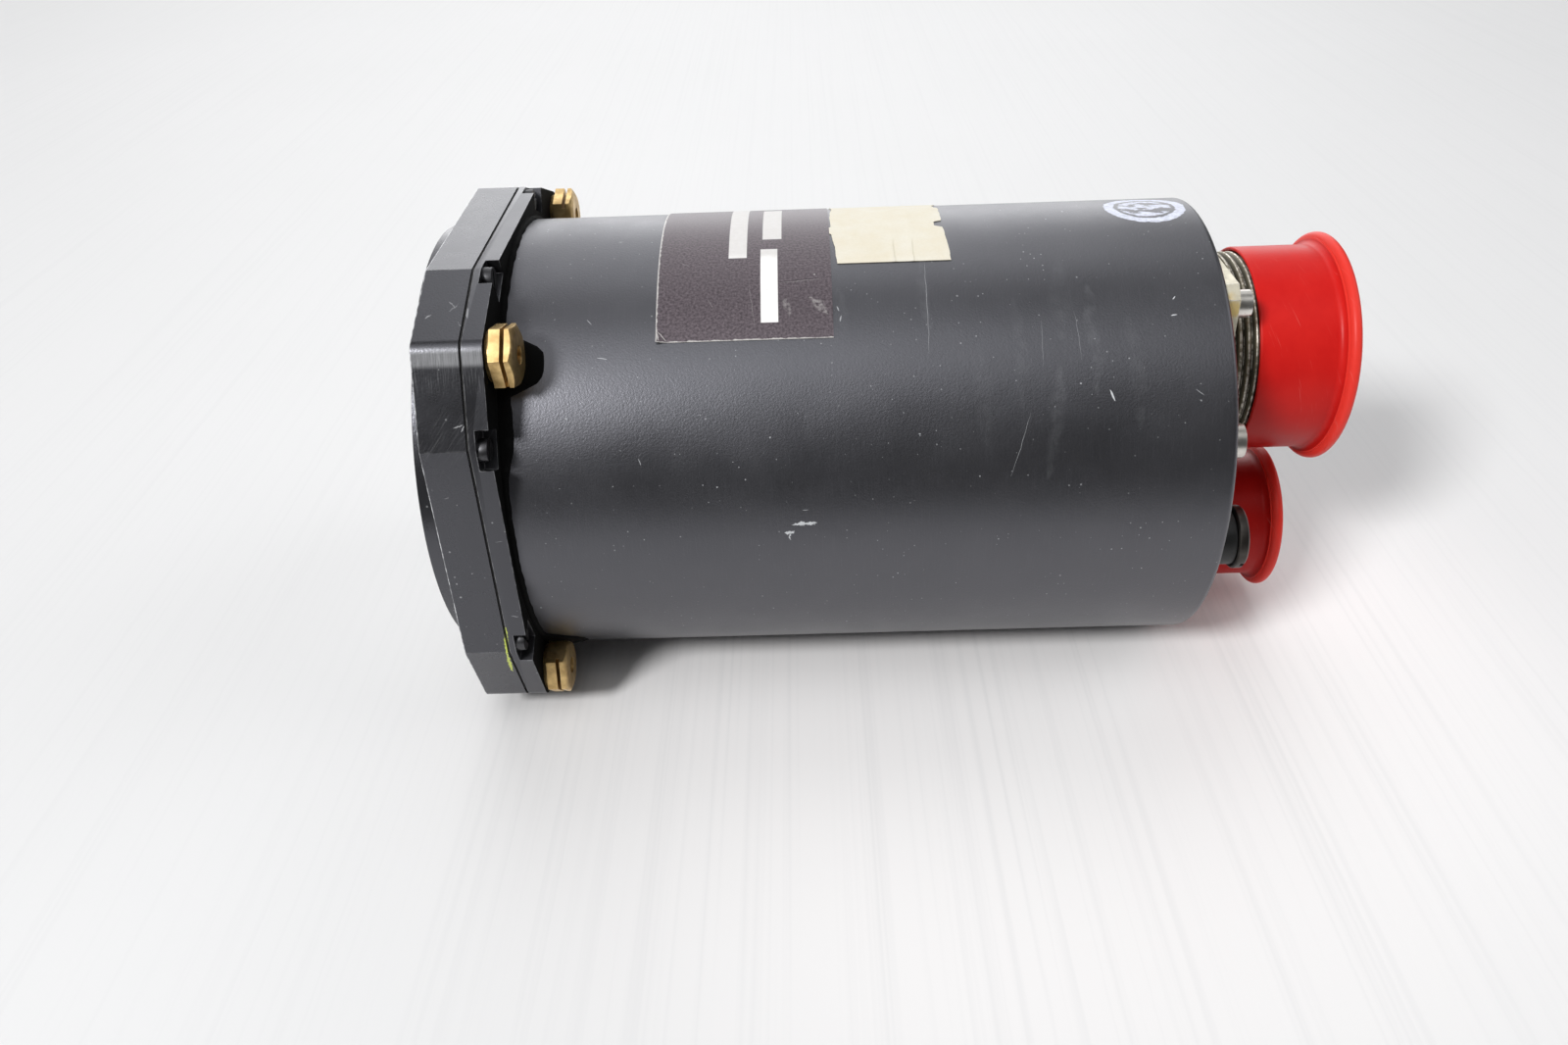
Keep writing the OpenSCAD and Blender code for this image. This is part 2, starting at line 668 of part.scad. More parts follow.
module case_can() {
    inner_edge_r = rear_edge_r / 2;
    color([0.09, 0.09, 0.1]) difference() {
        turned(concat(
            [[can_bore_r, flange_rear], [case_r, flange_rear]],
            arc([case_r - rear_edge_r, body_len - rear_edge_r], rear_edge_r, 0, 90),
            [[0, body_len], [0, can_inside]],
            arc([can_bore_r - inner_edge_r, can_inside - inner_edge_r], inner_edge_r, 90, 0)));
        bore(can_inside, body_len, main_thread_d / 2 - main_rear_step + 2 * seat_gap, main_at);
        bore(can_inside, body_len, small_thread_d / 2 + 2 * seat_gap, small_at);
        for (p = main_screw_points) bore(can_inside, body_len, connector_screw_d / 2 + seat_gap, p);
        for (p = rear_post_points) bore(can_inside, body_len, rear_screw_d / 2 + seat_gap, p);
        bore(can_inside, body_len, purge_body_d / 4 + seat_gap, purge_at);
    }
}

// Thin sheet wrapped on the case, from an angle measured up from the near side
module wrapped_sheet(x, len, from, sheet_arc, thickness) {
    axial(x) rotate(180 - from - sheet_arc) rotate_extrude(angle = sheet_arc)
        translate([case_r + seat_gap / 2, 0]) square([thickness, len]);
}

module nameplate() {
    color([0.2, 0.15, 0.15])
        wrapped_sheet(nameplate_at, nameplate_len, 90 - nameplate_arc / 2, nameplate_arc, nameplate_t);
}

module inspection_sticker() {
    color([0.93, 0.9, 0.72]) wrapped_sheet(sticker_at, sticker_len, sticker_from, sticker_arc, sticker_t);
}

module cover_glass() {
    color([0.8, 0.88, 0.9, 0.4]) rod(glass_front, glass_rear, glass_r);
}

module glass_gasket() {
    color([0.03, 0.03, 0.03]) ring(lip_rear, glass_front, glass_r, window_r + 2 * seat_gap);
}

module glass_retaining_ring() {
    ring_r = glass_bore_r + groove_depth - seat_gap;
    gap_w = 5;
    color([0.35, 0.35, 0.37]) difference() {
        ring(glass_rear, retainer_rear, ring_r, ring_r - retainer_w);
        axial(glass_rear - through) rotate(270)
            translate([0, -gap_w / 2, 0]) cube([ring_r + through, gap_w, retainer_t + 2 * through]);
    }
}

module dial_lamps() {
    lamp_tip = [0, bezel_t - lamp_len + lamp_d / 2];
    color([1, 0.95, 0.8]) for (p = lamp_points)
        turned(concat([[0, bezel_t], [lamp_d / 2, bezel_t]], arc(lamp_tip, lamp_d / 2, 0, -90)), p);
}

module dial_mask() {
    color([0.05, 0.05, 0.05]) difference() {
        rod(mask_front, front_plate_x, skirt_r);
        rod(mask_rear, front_plate_x + through, skirt_bore_r);
        bore(mask_front, mask_rear, mask_window_r);
    }
}

module lubber_index() {
    color([0.95, 0.95, 0.92]) axial(mask_front - index_t) linear_extrude(index_t)
        polygon([[0, mask_window_r + seat_gap], [index_h * 0.45, mask_window_r + index_h],
            [-index_h * 0.45, mask_window_r + index_h]]);
}

module compass_card() {
    color([0.06, 0.06, 0.07])
        ring(card_front, card_rear, card_r, pointer_two_r + 5 * run_gap);
}

module card_gear() {
    hub_r = card_bore_r + card_hub_wall;
    color([0.8, 0.7, 0.45]) difference() {
        union() {
            rod(card_rear, card_rear + 1, hub_r + 1.5);
            rod(card_rear, card_gear_rear, hub_r);
            gear(card_gear_front, card_teeth, 0);
        }
        bore(card_rear, card_gear_rear, card_bore_r);
    }
}

module card_bearings() {
    color([0.75, 0.76, 0.78])
        for (x = [card_rear + 0.4, card_gear_rear - bearing_len - 0.2])
            ring(x, x + bearing_len, card_bearing_r, boss_r + seat_gap);
}

module single_bar_pointer() {
    bar_w = 1.5;
    head_len = 7;
    head_half = 2.6;
    tail = 1;
    reach = mask_window_r - pointer_one_short;
    cap_r = pointer_hub_d * 0.4;
    color([0.95, 0.85, 0.25]) difference() {
        union() {
            axial(pointer_one_front) rotate(pointer_one_angle) linear_extrude(pointer_t) {
                translate([tail - reach, -bar_w / 2]) square([2 * reach - head_len, bar_w]);
                polygon([[reach - head_len, -head_half], [reach, 0], [reach - head_len, head_half]]);
                circle(pointer_hub_d / 2);
            }
            rod(pointer_one_front - layer_gap, pointer_one_front, cap_r);
        }
        rod(pointer_one_front - layer_gap / 2, pointer_one_front + pointer_t + through,
            pointer_one_shaft_d / 2 + seat_gap / 2);
    }
}

module pointer_one_shaft() {
    shaft_end = middle_plate_rear + axis_synchro_len * 0.6;
    color([0.75, 0.76, 0.78])
        rod(pointer_one_front - layer_gap / 2, shaft_end, pointer_one_shaft_d / 2);
}

module double_bar_pointer() {
    bar_w = 1.1;
    bar_y = 1.7;
    head_len = 9;
    head_half = 3.8;
    tail = 1;
    reach = mask_window_r - pointer_two_short;
    color([0.2, 0.75, 0.35]) difference() {
        axial(pointer_two_front) rotate(pointer_two_angle) linear_extrude(pointer_t) {
            for (side = [-1, 1])
                translate([tail - reach, side * bar_y - bar_w / 2]) square([2 * reach - head_len, bar_w]);
            translate([tail - reach, -bar_y]) square([bar_w, 2 * bar_y]);
            polygon([[reach - head_len, -head_half], [reach, 0], [reach - head_len, head_half]]);
            circle(pointer_hub_d / 2);
        }
        bore(pointer_two_front, pointer_two_front + pointer_t, pointer_two_r + seat_gap / 2);
    }
}

module pointer_two_shaft() {
    shaft_end = pointer_gear_x + gear_t + 1;
    color([0.75, 0.76, 0.78]) difference() {
        union() {
            rod(pointer_two_front, shaft_end, pointer_two_r);
            rod(pointer_gear_x, shaft_end, pointer_two_r + 2);
            gear(pointer_gear_x, card_teeth, 0);
        }
        bore(pointer_two_front, shaft_end, pointer_one_shaft_d / 2 + run_gap);
    }
}

module pointer_bearings() {
    color([0.82, 0.83, 0.85])
        for (x = [card_rear + 1.5, front_plate_rear - bearing_len - 0.2])
            ring(x, x + bearing_len, pointer_bearing_r, pointer_two_r + run_gap);
}

module shafted_gear(x0, gear_x, x1, teeth, phase, p) {
    color([0.8, 0.7, 0.45]) {
        rod(x0, x1, gear_shaft_d / 2, p);
        gear(gear_x, teeth, phase, p);
    }
}

module synchro_two_gear() {
    shafted_gear(pointer_gear_x - 0.5, pointer_gear_x, middle_plate_rear + synchro_len * 0.6, card_teeth,
        mesh_phase(synchro_two_angle, card_teeth, 0, card_teeth), synchro_two_at);
}

module card_synchro_gear() {
    shafted_gear(card_gear_front - 0.5, card_gear_front, middle_plate_rear + synchro_len * 0.6, card_teeth,
        mesh_phase(card_synchro_angle, card_teeth, 0, card_teeth), card_synchro_at);
}

module idler_gear() {
    shafted_gear(card_gear_front - 0.5, card_gear_front, middle_plate_rear, pinion_teeth,
        mesh_phase(idler_angle, card_teeth, 0, pinion_teeth), idler_at);
    color([0.8, 0.7, 0.45]) gear(wheel_x, wheel_teeth, wheel_phase, idler_at);
}

module motor_pinion() {
    shafted_gear(wheel_x - 0.5, wheel_x, middle_plate_rear + synchro_len * 0.6, pinion_teeth,
        mesh_phase(idler_to_motor, wheel_teeth, wheel_phase, pinion_teeth), motor_at);
}

module gear_bushings() {
    bush_bore_r = gear_shaft_d / 2 + run_gap;
    color([0.7, 0.5, 0.25]) {
        for (p = [card_synchro_at, idler_at])
            ring(front_plate_x, front_plate_rear, bush_bore_r + bushing_wall, bush_bore_r, p);
        ring(middle_plate_x, middle_plate_rear, bush_bore_r + bushing_wall, bush_bore_r, idler_at);
        ring(front_plate_x, front_plate_rear, flag_spindle_d / 2 + run_gap + bushing_wall / 2,
            flag_spindle_d / 2 + run_gap, flag_pivot);
    }
}

// The flag at rest has swung out from behind the mask into the window
module warning_flag() {
    hub_r = flag_spindle_d / 2 + 0.5;
    inner_r = mask_window_r + 0.4;
    outer_r = skirt_bore_r - 0.7;
    color([0.9, 0.25, 0.08]) {
        rod(flag_front, front_plate_rear + flag_meter_len * 0.8, flag_spindle_d / 2, flag_pivot);
        rod(flag_front, flag_front + flag_t, hub_r, flag_pivot);
        axial(flag_front, flag_pivot) rotate(flag_swing) translate(-flag_pivot)
            rotate(atan2(flag_pivot[1], flag_pivot[0])) rotate_extrude(angle = flag_arc)
                translate([inner_r, 0]) square([outer_r - inner_r, flag_t]);
    }
}

module flag_meter() {
    color([0.25, 0.25, 0.27]) difference() {
        rod(front_plate_rear, front_plate_rear + flag_meter_len, flag_meter_d / 2, flag_pivot);
        rod(front_plate_rear - through, front_plate_rear + flag_meter_len * 0.9,
            flag_spindle_d / 2 + run_gap, flag_pivot);
    }
}

module front_plate() {
    bush_r = gear_shaft_d / 2 + run_gap + bushing_wall + seat_gap;
    flag_bush_r = flag_spindle_d / 2 + run_gap + bushing_wall / 2 + seat_gap;
    color([0.62, 0.63, 0.65]) difference() {
        union() {
            rod(front_plate_x, front_plate_rear, chassis_r);
            rod(card_rear + 0.3, front_plate_rear, boss_r);
        }
        bore(card_rear + 0.3, front_plate_rear, pointer_bearing_r + seat_gap);
        for (p = [card_synchro_at, idler_at]) bore(front_plate_x, front_plate_rear, bush_r, p);
        bore(front_plate_x, front_plate_rear, flag_bush_r, flag_pivot);
        for (p = front_post_points) bore(front_plate_x, front_plate_rear, stud_hole_r, p);
    }
}

module middle_plate() {
    bush_r = gear_shaft_d / 2 + run_gap + bushing_wall + seat_gap;
    color([0.62, 0.63, 0.65]) difference() {
        rod(middle_plate_x, middle_plate_rear, chassis_r);
        bore(middle_plate_x, middle_plate_rear, bush_r, idler_at);
        for (p = concat([[0, 0]], synchro_points))
            bore(middle_plate_x, middle_plate_rear, pilot_d / 2 + seat_gap, p);
        for (p = front_post_points) bore(middle_plate_x, middle_plate_rear, stud_hole_r, p);
        synchro_screw_holes(middle_plate_x - through, plate_t + 2 * through);
    }
}

module rear_plate() {
    color([0.62, 0.63, 0.65]) difference() {
        rod(rear_plate_x, rear_plate_rear, chassis_r);
        for (p = concat(front_post_points, rear_post_points, spacer_points))
            bore(rear_plate_x, rear_plate_rear, stud_hole_r, p);
        for (p = concat([[0, 0]], synchro_points))
            bore(rear_plate_x, rear_plate_rear, bundle_d / 2 + 2 * seat_gap, p);
    }
}

// Short posts carry studs that run through the middle plate into the long ones
module front_posts() {
    stud_len = plate_t + 4;
    color([0.7, 0.71, 0.73]) for (p = front_post_points) {
        difference() {
            union() {
                rod(front_plate_rear, middle_plate_x, front_post_d / 2, p);
                rod(middle_plate_x, middle_plate_x + stud_len, stud_d / 2, p);
            }
            bore(front_plate_rear, front_plate_rear + 5, stud_hole_r, p);
        }
        difference() {
            rod(middle_plate_rear, rear_plate_x, front_post_d / 2, p);
            bore(middle_plate_rear, middle_plate_rear + stud_len - plate_t, stud_hole_r, p);
            bore(rear_plate_x - 5, rear_plate_x, stud_hole_r, p);
        }
    }
}

module rear_posts() {
    color([0.7, 0.71, 0.73]) for (p = rear_post_points) difference() {
        union() {
            rod(rear_plate_x, rear_plate_rear + through, stud_d / 2, p);
            rod(rear_plate_rear, can_inside, rear_post_d / 2, p);
        }
        bore(body_len - rear_screw_len - through, can_inside, rear_screw_d / 2 + seat_gap, p);
    }
}

module plate_screws() {
    color([0.5, 0.5, 0.52]) for (p = front_post_points) {
        front_facing_screw(front_plate_x, p, stud_d, plate_screw_len, plate_screw_head_d, plate_screw_head_t);
        rear_facing_screw(rear_plate_rear, p, stud_d, plate_screw_len, plate_screw_head_d,
            plate_screw_head_t);
    }
}

// Where the three screws of each synchro stand, round the synchro's pilot
function synchro_screw_ring(d) = [for (k = [0:2]) polar((pilot_d + d) / 4 + 0.4, 60 + 120 * k)];

module synchro_screw_holes(x, len) {
    for (p = synchro_points) for (q = synchro_screw_ring(synchro_d))
        rod(x, x + len, synchro_screw_d / 2 + seat_gap, p + q);
    for (q = synchro_screw_ring(axis_synchro_d)) rod(x, x + len, synchro_screw_d / 2 + seat_gap, q);
}

// Synchro or motor: pilot, body with a groove, rear cap, and a blind bore for its shaft
module synchro(p, d, len, shaft_d) {
    face = middle_plate_rear;
    color([0.55, 0.56, 0.58]) difference() {
        union() {
            rod(middle_plate_x + plate_t / 3, face, pilot_d / 2, p);
            turned([[0, face], [d / 2, face], [d / 2, face + 1.5], [d / 2 - 0.7, face + 1.5],
                [d / 2 - 0.7, face + 3], [d / 2, face + 3], [d / 2, face + len - 1.5],
                [d / 2 - 2, face + len], [0, face + len]], p);
        }
        bore(middle_plate_x, face + len * 0.7, shaft_d / 2 + run_gap, p);
        synchro_screw_holes(face - through, synchro_screw_len);
    }
}

module pointer_one_synchro() {
    synchro([0, 0], axis_synchro_d, axis_synchro_len, pointer_one_shaft_d);
}

module pointer_two_synchro() {
    synchro(synchro_two_at, synchro_d, synchro_len, gear_shaft_d);
}

module card_synchro() {
    synchro(card_synchro_at, synchro_d, synchro_len, gear_shaft_d);
}

module servo_motor() {
    synchro(motor_at, synchro_d, synchro_len, gear_shaft_d);
}

module synchro_screws() {
    places = concat(
        [for (p = synchro_points) for (q = synchro_screw_ring(synchro_d)) p + q],
        synchro_screw_ring(axis_synchro_d));
    color([0.5, 0.5, 0.52]) for (p = places)
        front_facing_screw(middle_plate_x, p, synchro_screw_d, synchro_screw_len, synchro_screw_head_d,
            synchro_screw_head_t);
}

module board(x) {
    color([0.1, 0.35, 0.18]) difference() {
        rod(x, x + board_t, board_r);
        for (p = spacer_points) bore(x, x + board_t, stud_hole_r, p);
    }
}

module amplifier_board() {
    board(board_one_x);
}

module power_board() {
    board(board_two_x);
}

// Each row of spacers: a lower one with a stud into the plate, and an upper one with studs at both ends
module board_spacers() {
    color([0.7, 0.71, 0.73]) for (p = spacer_points) {
        rod(rear_plate_x, rear_plate_rear, stud_d / 2, p);
        rod(rear_plate_rear, board_one_x, spacer_d / 2, p);
        rod(board_one_x + board_t, board_two_x, spacer_d / 2, p);
        rod(board_one_x, board_one_x + board_t, stud_d / 2, p);
        rod(board_two_x, board_two_rear, stud_d / 2, p);
        rod(board_two_rear, board_two_rear + plate_screw_head_t, plate_screw_head_d / 2, p);
    }
}

module board_components() {
    x = board_one_x + board_t;
    transistor_h = 5;
    capacitor_h = 8.5;
    color([0.65, 0.66, 0.68]) for (p = transistor_points)
        turned([[0, x], [2.9, x], [2.9, x + 0.8], [2.3, x + 0.8], [2.3, x + transistor_h],
            [0, x + transistor_h]], p);
    color([0.55, 0.3, 0.12]) for (p = capacitor_points) rod(x, x + capacitor_h, 3, p);
}

module transformer() {
    core_w = 14;
    coil_w = 9;
    at = [10, -1];
    color([0.3, 0.28, 0.26]) translate([board_two_rear, at[0] - core_w / 2, at[1] - core_w / 2])
        cube([transformer_h * 0.8, core_w, core_w]);
    color([0.75, 0.6, 0.2])
        translate([board_two_rear + transformer_h * 0.8, at[0] - coil_w / 2, at[1] - coil_w / 2])
            cube([transformer_h * 0.2, coil_w, coil_w]);
}

module wiring_harness() {
    bundle_r = bundle_d / 2;
    color([0.8, 0.78, 0.7]) {
        for (p = synchro_points) rod(middle_plate_rear + synchro_len, board_one_x, bundle_r, p);
        rod(middle_plate_rear + axis_synchro_len, board_one_x, bundle_r);
        rod(board_one_x + board_t, board_two_x, bundle_r);
        rod(board_two_rear, can_inside - main_rear_len, 2 * bundle_r, main_at);
        rod(board_two_rear, can_inside - small_rear_len - shoulder_t, 1.5 * bundle_r, small_at);
    }
}

// Outer profile of a threaded barrel, from x0 to the mouth, with its crests at radius r
function thread_profile(x0, mouth, r, pitch) =
    let (
        depth = 0.56 * pitch,
        plain_end = pitch / 3,
        turns = floor((mouth - x0 - 2 * plain_end) / pitch),
        start = mouth - plain_end - turns * pitch)
    concat(
        [[r - depth, x0], [r - depth, start]],
        [for (i = [0:turns - 1]) for (q = [[r, 0.4], [r, 0.6], [r - depth, 1]])
            [q[0], start + (i + q[1]) * pitch]],
        [[r - depth, mouth]]);

module main_connector_shell() {
    flange_rear_x = body_len + main_flange_t;
    mouth = body_len + main_barrel_len;
    half = main_flange_half;
    insert_r = main_barrel_r - insert_inset;
    rear_x = can_inside - main_rear_len / 2;
    rear_r = main_thread_d / 2 - main_rear_step;
    cut = half - main_flange_cut;
    square_points = [for (k = [0:3]) for (q = [[half, cut], [cut, half]]) turn(q, 90 * k)];
    color([0.5, 0.48, 0.36]) difference() {
        union() {
            axial(body_len, main_at) linear_extrude(main_flange_t) polygon(square_points);
            turned(concat(
                [[0, rear_x], [rear_r, rear_x], [rear_r, body_len]],
                thread_profile(flange_rear_x, mouth, main_thread_d / 2, main_thread_pitch),
                [[0, mouth]]), main_at);
        }
        rod(mouth - main_socket_depth, mouth + through, main_barrel_r, main_at);
        bore(can_inside - main_rear_len, mouth, insert_r + seat_gap, main_at);
        for (p = main_screw_points) bore(body_len, flange_rear_x, connector_screw_d / 2 + seat_gap, p);
    }
}

module main_connector_insert() {
    mouth = body_len + main_barrel_len;
    insert_r = main_barrel_r - insert_inset;
    color([0.12, 0.2, 0.16]) difference() {
        rod(can_inside - main_rear_len + 3, mouth - main_socket_depth, insert_r, main_at);
        for (q = contact_field(2, main_pin_pitch))
            bore(can_inside - main_rear_len, mouth, main_pin_d / 2 + seat_gap, main_at + q);
    }
}

// Contacts with a solder cup at the rear, standing in the barrel well short of its mouth
module contacts(x0, x1, cup_end, pin_d, p) {
    turned([[0, x0], [pin_d * 0.75, x0], [pin_d * 0.75, cup_end], [pin_d / 2, cup_end],
        [pin_d / 2, x1 - pin_d / 2], [0, x1]], p);
}

module main_connector_pins() {
    rear = can_inside - main_rear_len;
    tip = body_len + main_barrel_len - 4.6;
    color([0.85, 0.72, 0.35]) for (q = contact_field(2, main_pin_pitch))
        contacts(rear, tip, rear + 2.9, main_pin_d, main_at + q);
}

module main_connector_screws() {
    seat = body_len + main_flange_t;
    color([0.75, 0.74, 0.7]) for (i = [0:3]) {
        ring(seat, seat + washer_t, washer_d / 2, connector_screw_d / 2 + seat_gap, main_screw_points[i]);
        rear_facing_screw(seat + washer_t, main_screw_points[i], connector_screw_d,
            main_flange_t + washer_t + rear_wall + 2, connector_screw_head_d, connector_screw_head_t, 40 * i);
    }
}

// Push-on plastic cap: thin wall, flared closed end with a beaded rim and a shallow dish behind it
module plastic_cap(x0, mouth, bore_r, p) {
    wall_r = bore_r + cap_wall;
    inside_end = mouth + cap_headroom;
    rim_x = inside_end + cap_end_t;
    flare_r = cap_rim_reach - cap_bead_r;
    bead_x = rim_x - cap_bead_r;
    dish_r = wall_r - 2 * cap_wall;
    color([0.82, 0.06, 0.06]) turned(concat(
        [[bore_r, x0], [wall_r, x0]],
        arc([wall_r + flare_r, bead_x - flare_r / 2], flare_r, 180, 90),
        arc([wall_r + flare_r, rim_x], cap_bead_r, -90, 90, 10),
        [[dish_r + cap_bead_r, rim_x + cap_bead_r], [dish_r, rim_x], [0, rim_x], [0, inside_end],
            [bore_r, inside_end]]), p);
}

module main_connector_cap() {
    plastic_cap(body_len + main_cap_at, body_len + main_barrel_len, main_thread_d / 2 + run_gap, main_at);
}

module small_connector_cap() {
    plastic_cap(body_len + small_cap_at, body_len + small_barrel_len, small_thread_d / 2 + run_gap, small_at);
}

module small_connector_shell() {
    mouth = body_len + small_barrel_len;
    insert_r = small_barrel_r - insert_inset;
    thread_r = small_thread_d / 2;
    color([0.5, 0.48, 0.36]) difference() {
        union() {
            rod(can_inside - shoulder_t, can_inside, shoulder_d / 2, small_at);
            rod(can_inside - small_rear_len / 2, can_inside, thread_r, small_at);
            turned(concat(
                [[0, can_inside], [thread_r, can_inside], [thread_r, body_len + jam_nut_t]],
                thread_profile(body_len + jam_nut_t, mouth, thread_r, small_thread_pitch),
                [[0, mouth]]), small_at);
        }
        rod(mouth - small_socket_depth, mouth + through, small_barrel_r, small_at);
        bore(can_inside - small_rear_len, mouth, insert_r + seat_gap, small_at);
    }
}

module small_connector_insert() {
    mouth = body_len + small_barrel_len;
    insert_r = small_barrel_r - insert_inset;
    color([0.12, 0.2, 0.16]) difference() {
        rod(can_inside - small_rear_len + 2, mouth - small_socket_depth, insert_r, small_at);
        for (q = contact_field(1, small_pin_pitch))
            bore(can_inside - small_rear_len, mouth, small_pin_d / 2 + seat_gap, small_at + q);
    }
}

module small_connector_pins() {
    rear = can_inside - small_rear_len;
    tip = body_len + small_barrel_len - 4.6;
    color([0.85, 0.72, 0.35]) for (q = contact_field(1, small_pin_pitch))
        contacts(rear, tip, rear + 1.9, small_pin_d, small_at + q);
}

module small_connector_nut() {
    color([0.55, 0.53, 0.42]) difference() {
        axial(body_len, small_at) cylinder(h = jam_nut_t, r = jam_nut_af / 2 / cos(30), $fn = 6);
        bore(body_len, body_len + jam_nut_t, small_thread_d / 2 + seat_gap, small_at);
    }
}

module rear_screws() {
    color([0.72, 0.71, 0.67]) for (i = [0:3])
        rear_facing_screw(body_len, rear_post_points[i], rear_screw_d, rear_screw_len, rear_screw_head_d,
            rear_screw_head_t, 10 + 55 * i);
}

module purge_valve_body() {
    color([0.05, 0.05, 0.05]) {
        rod(can_inside - 3, body_len, purge_body_d / 4, purge_at);
        rod(body_len, body_len + purge_body_h, purge_body_d / 2, purge_at);
    }
}

module purge_valve_cap() {
    x = body_len + purge_body_h;
    r = purge_cap_d / 2;
    slot_w = 1;
    color([0.6, 0.6, 0.6]) difference() {
        turned([[0, x], [r - 0.3, x], [r, x + 0.3], [r, x + purge_cap_h - 0.3], [r - 0.3, x + purge_cap_h],
            [0, x + purge_cap_h]], purge_at);
        axial(x + purge_cap_h * 0.5, purge_at) rotate(30)
            translate([-2 * r, -slot_w / 2, 0]) cube([4 * r, slot_w, purge_cap_h]);
    }
}

bezel();
bezel_gasket();
mounting_flange();
bezel_screws();
mounting_nuts();
case_can();
nameplate();
inspection_sticker();
cover_glass();
glass_gasket();
glass_retaining_ring();
dial_lamps();
dial_mask();
lubber_index();
compass_card();
card_gear();
card_bearings();
single_bar_pointer();
pointer_one_shaft();
double_bar_pointer();
pointer_two_shaft();
pointer_bearings();
synchro_two_gear();
card_synchro_gear();
idler_gear();
motor_pinion();
gear_bushings();
warning_flag();
flag_meter();
front_plate();
middle_plate();
rear_plate();
front_posts();
rear_posts();
plate_screws();
pointer_one_synchro();
pointer_two_synchro();
card_synchro();
servo_motor();
synchro_screws();
amplifier_board();
power_board();
board_spacers();
board_components();
transformer();
wiring_harness();
main_connector_shell();
main_connector_insert();
main_connector_pins();
main_connector_screws();
main_connector_cap();
small_connector_shell();
small_connector_insert();
small_connector_pins();
small_connector_nut();
small_connector_cap();
rear_screws();
purge_valve_body();
purge_valve_cap();
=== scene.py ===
# %% [markdown]
# # A radio magnetic indicator
# This lesson dresses a round cockpit instrument in Blender. The imported model gives every piece its
# real place, in metres: the origin is the centre of the face that lies against the panel, +X runs back
# along the case, +Z is the top of the dial. We look at the instrument from its side, lying on a table.
# The frame is loaded first.

# %% Load the frame
import json
import math

import bmesh
import bpy
from mathutils import Matrix, Vector, noise


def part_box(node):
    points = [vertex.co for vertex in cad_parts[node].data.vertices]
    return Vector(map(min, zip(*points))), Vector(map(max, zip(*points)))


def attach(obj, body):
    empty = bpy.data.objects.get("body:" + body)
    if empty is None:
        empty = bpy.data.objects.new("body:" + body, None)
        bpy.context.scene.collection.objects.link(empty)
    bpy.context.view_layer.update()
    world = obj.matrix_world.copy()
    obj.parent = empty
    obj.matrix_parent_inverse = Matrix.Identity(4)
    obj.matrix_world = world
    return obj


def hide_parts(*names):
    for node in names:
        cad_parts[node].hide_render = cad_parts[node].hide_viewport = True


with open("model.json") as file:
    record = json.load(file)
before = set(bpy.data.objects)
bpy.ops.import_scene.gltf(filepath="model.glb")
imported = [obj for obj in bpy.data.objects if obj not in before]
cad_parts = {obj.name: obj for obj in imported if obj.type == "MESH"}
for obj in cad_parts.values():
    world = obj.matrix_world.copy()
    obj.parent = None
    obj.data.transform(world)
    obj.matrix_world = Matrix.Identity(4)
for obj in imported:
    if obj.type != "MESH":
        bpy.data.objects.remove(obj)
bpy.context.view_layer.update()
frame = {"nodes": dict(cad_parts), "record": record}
nodes = frame["nodes"]
MM = 0.001
body_of = {node: body for body, names in frame["record"]["behaviour"]["bodies"].items() for node in names}


def box_mm(node):
    """The lowest and the highest corner of a CAD node, in millimetres."""
    return [Vector(corner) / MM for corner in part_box(node)]


CASE_END, CASE_R = box_mm("case_can")[1].xy
print("nodes:", len(nodes), " case radius and end in mm:", round(CASE_R, 2), round(CASE_END, 2))

# %% [markdown]
# # The camera
# The photograph was solved like a survey: with the known sizes of the instrument, one camera fits all
# its corners. So the camera is placed by numbers, not by eye. Its turn is a rotation vector, counted
# from a camera that looks level along +Y. A Blender camera looks along its own -Z, so it is first
# tipped up by a quarter turn.

# %% Place the camera
CAMERA_AT = Vector((60.3046, -205.1898, 114.2151)) * MM
CAMERA_TURN = Vector((-0.58689, 0.03366, 0.01245))

camera = bpy.data.objects.new("camera", bpy.data.cameras.new("camera"))
bpy.context.scene.collection.objects.link(camera)
bpy.context.scene.camera = camera
camera.data.lens = 28.19
camera.data.sensor_width = 36
camera.data.clip_start = 0.01
turn = Matrix.Rotation(CAMERA_TURN.length, 4, CAMERA_TURN.normalized())
camera.matrix_world = Matrix.Translation(CAMERA_AT) @ turn @ Matrix.Rotation(math.radians(90), 4, "X")
print("camera looks along", [round(v, 3) for v in -camera.matrix_world.col[2].xyz])

# %% [markdown]
# # Wiring node trees
# Every finish below is a tree of shader nodes. This small helper adds a node, sets its options and
# links or fills its inputs in one call, so that a finish reads from top to bottom like a recipe.


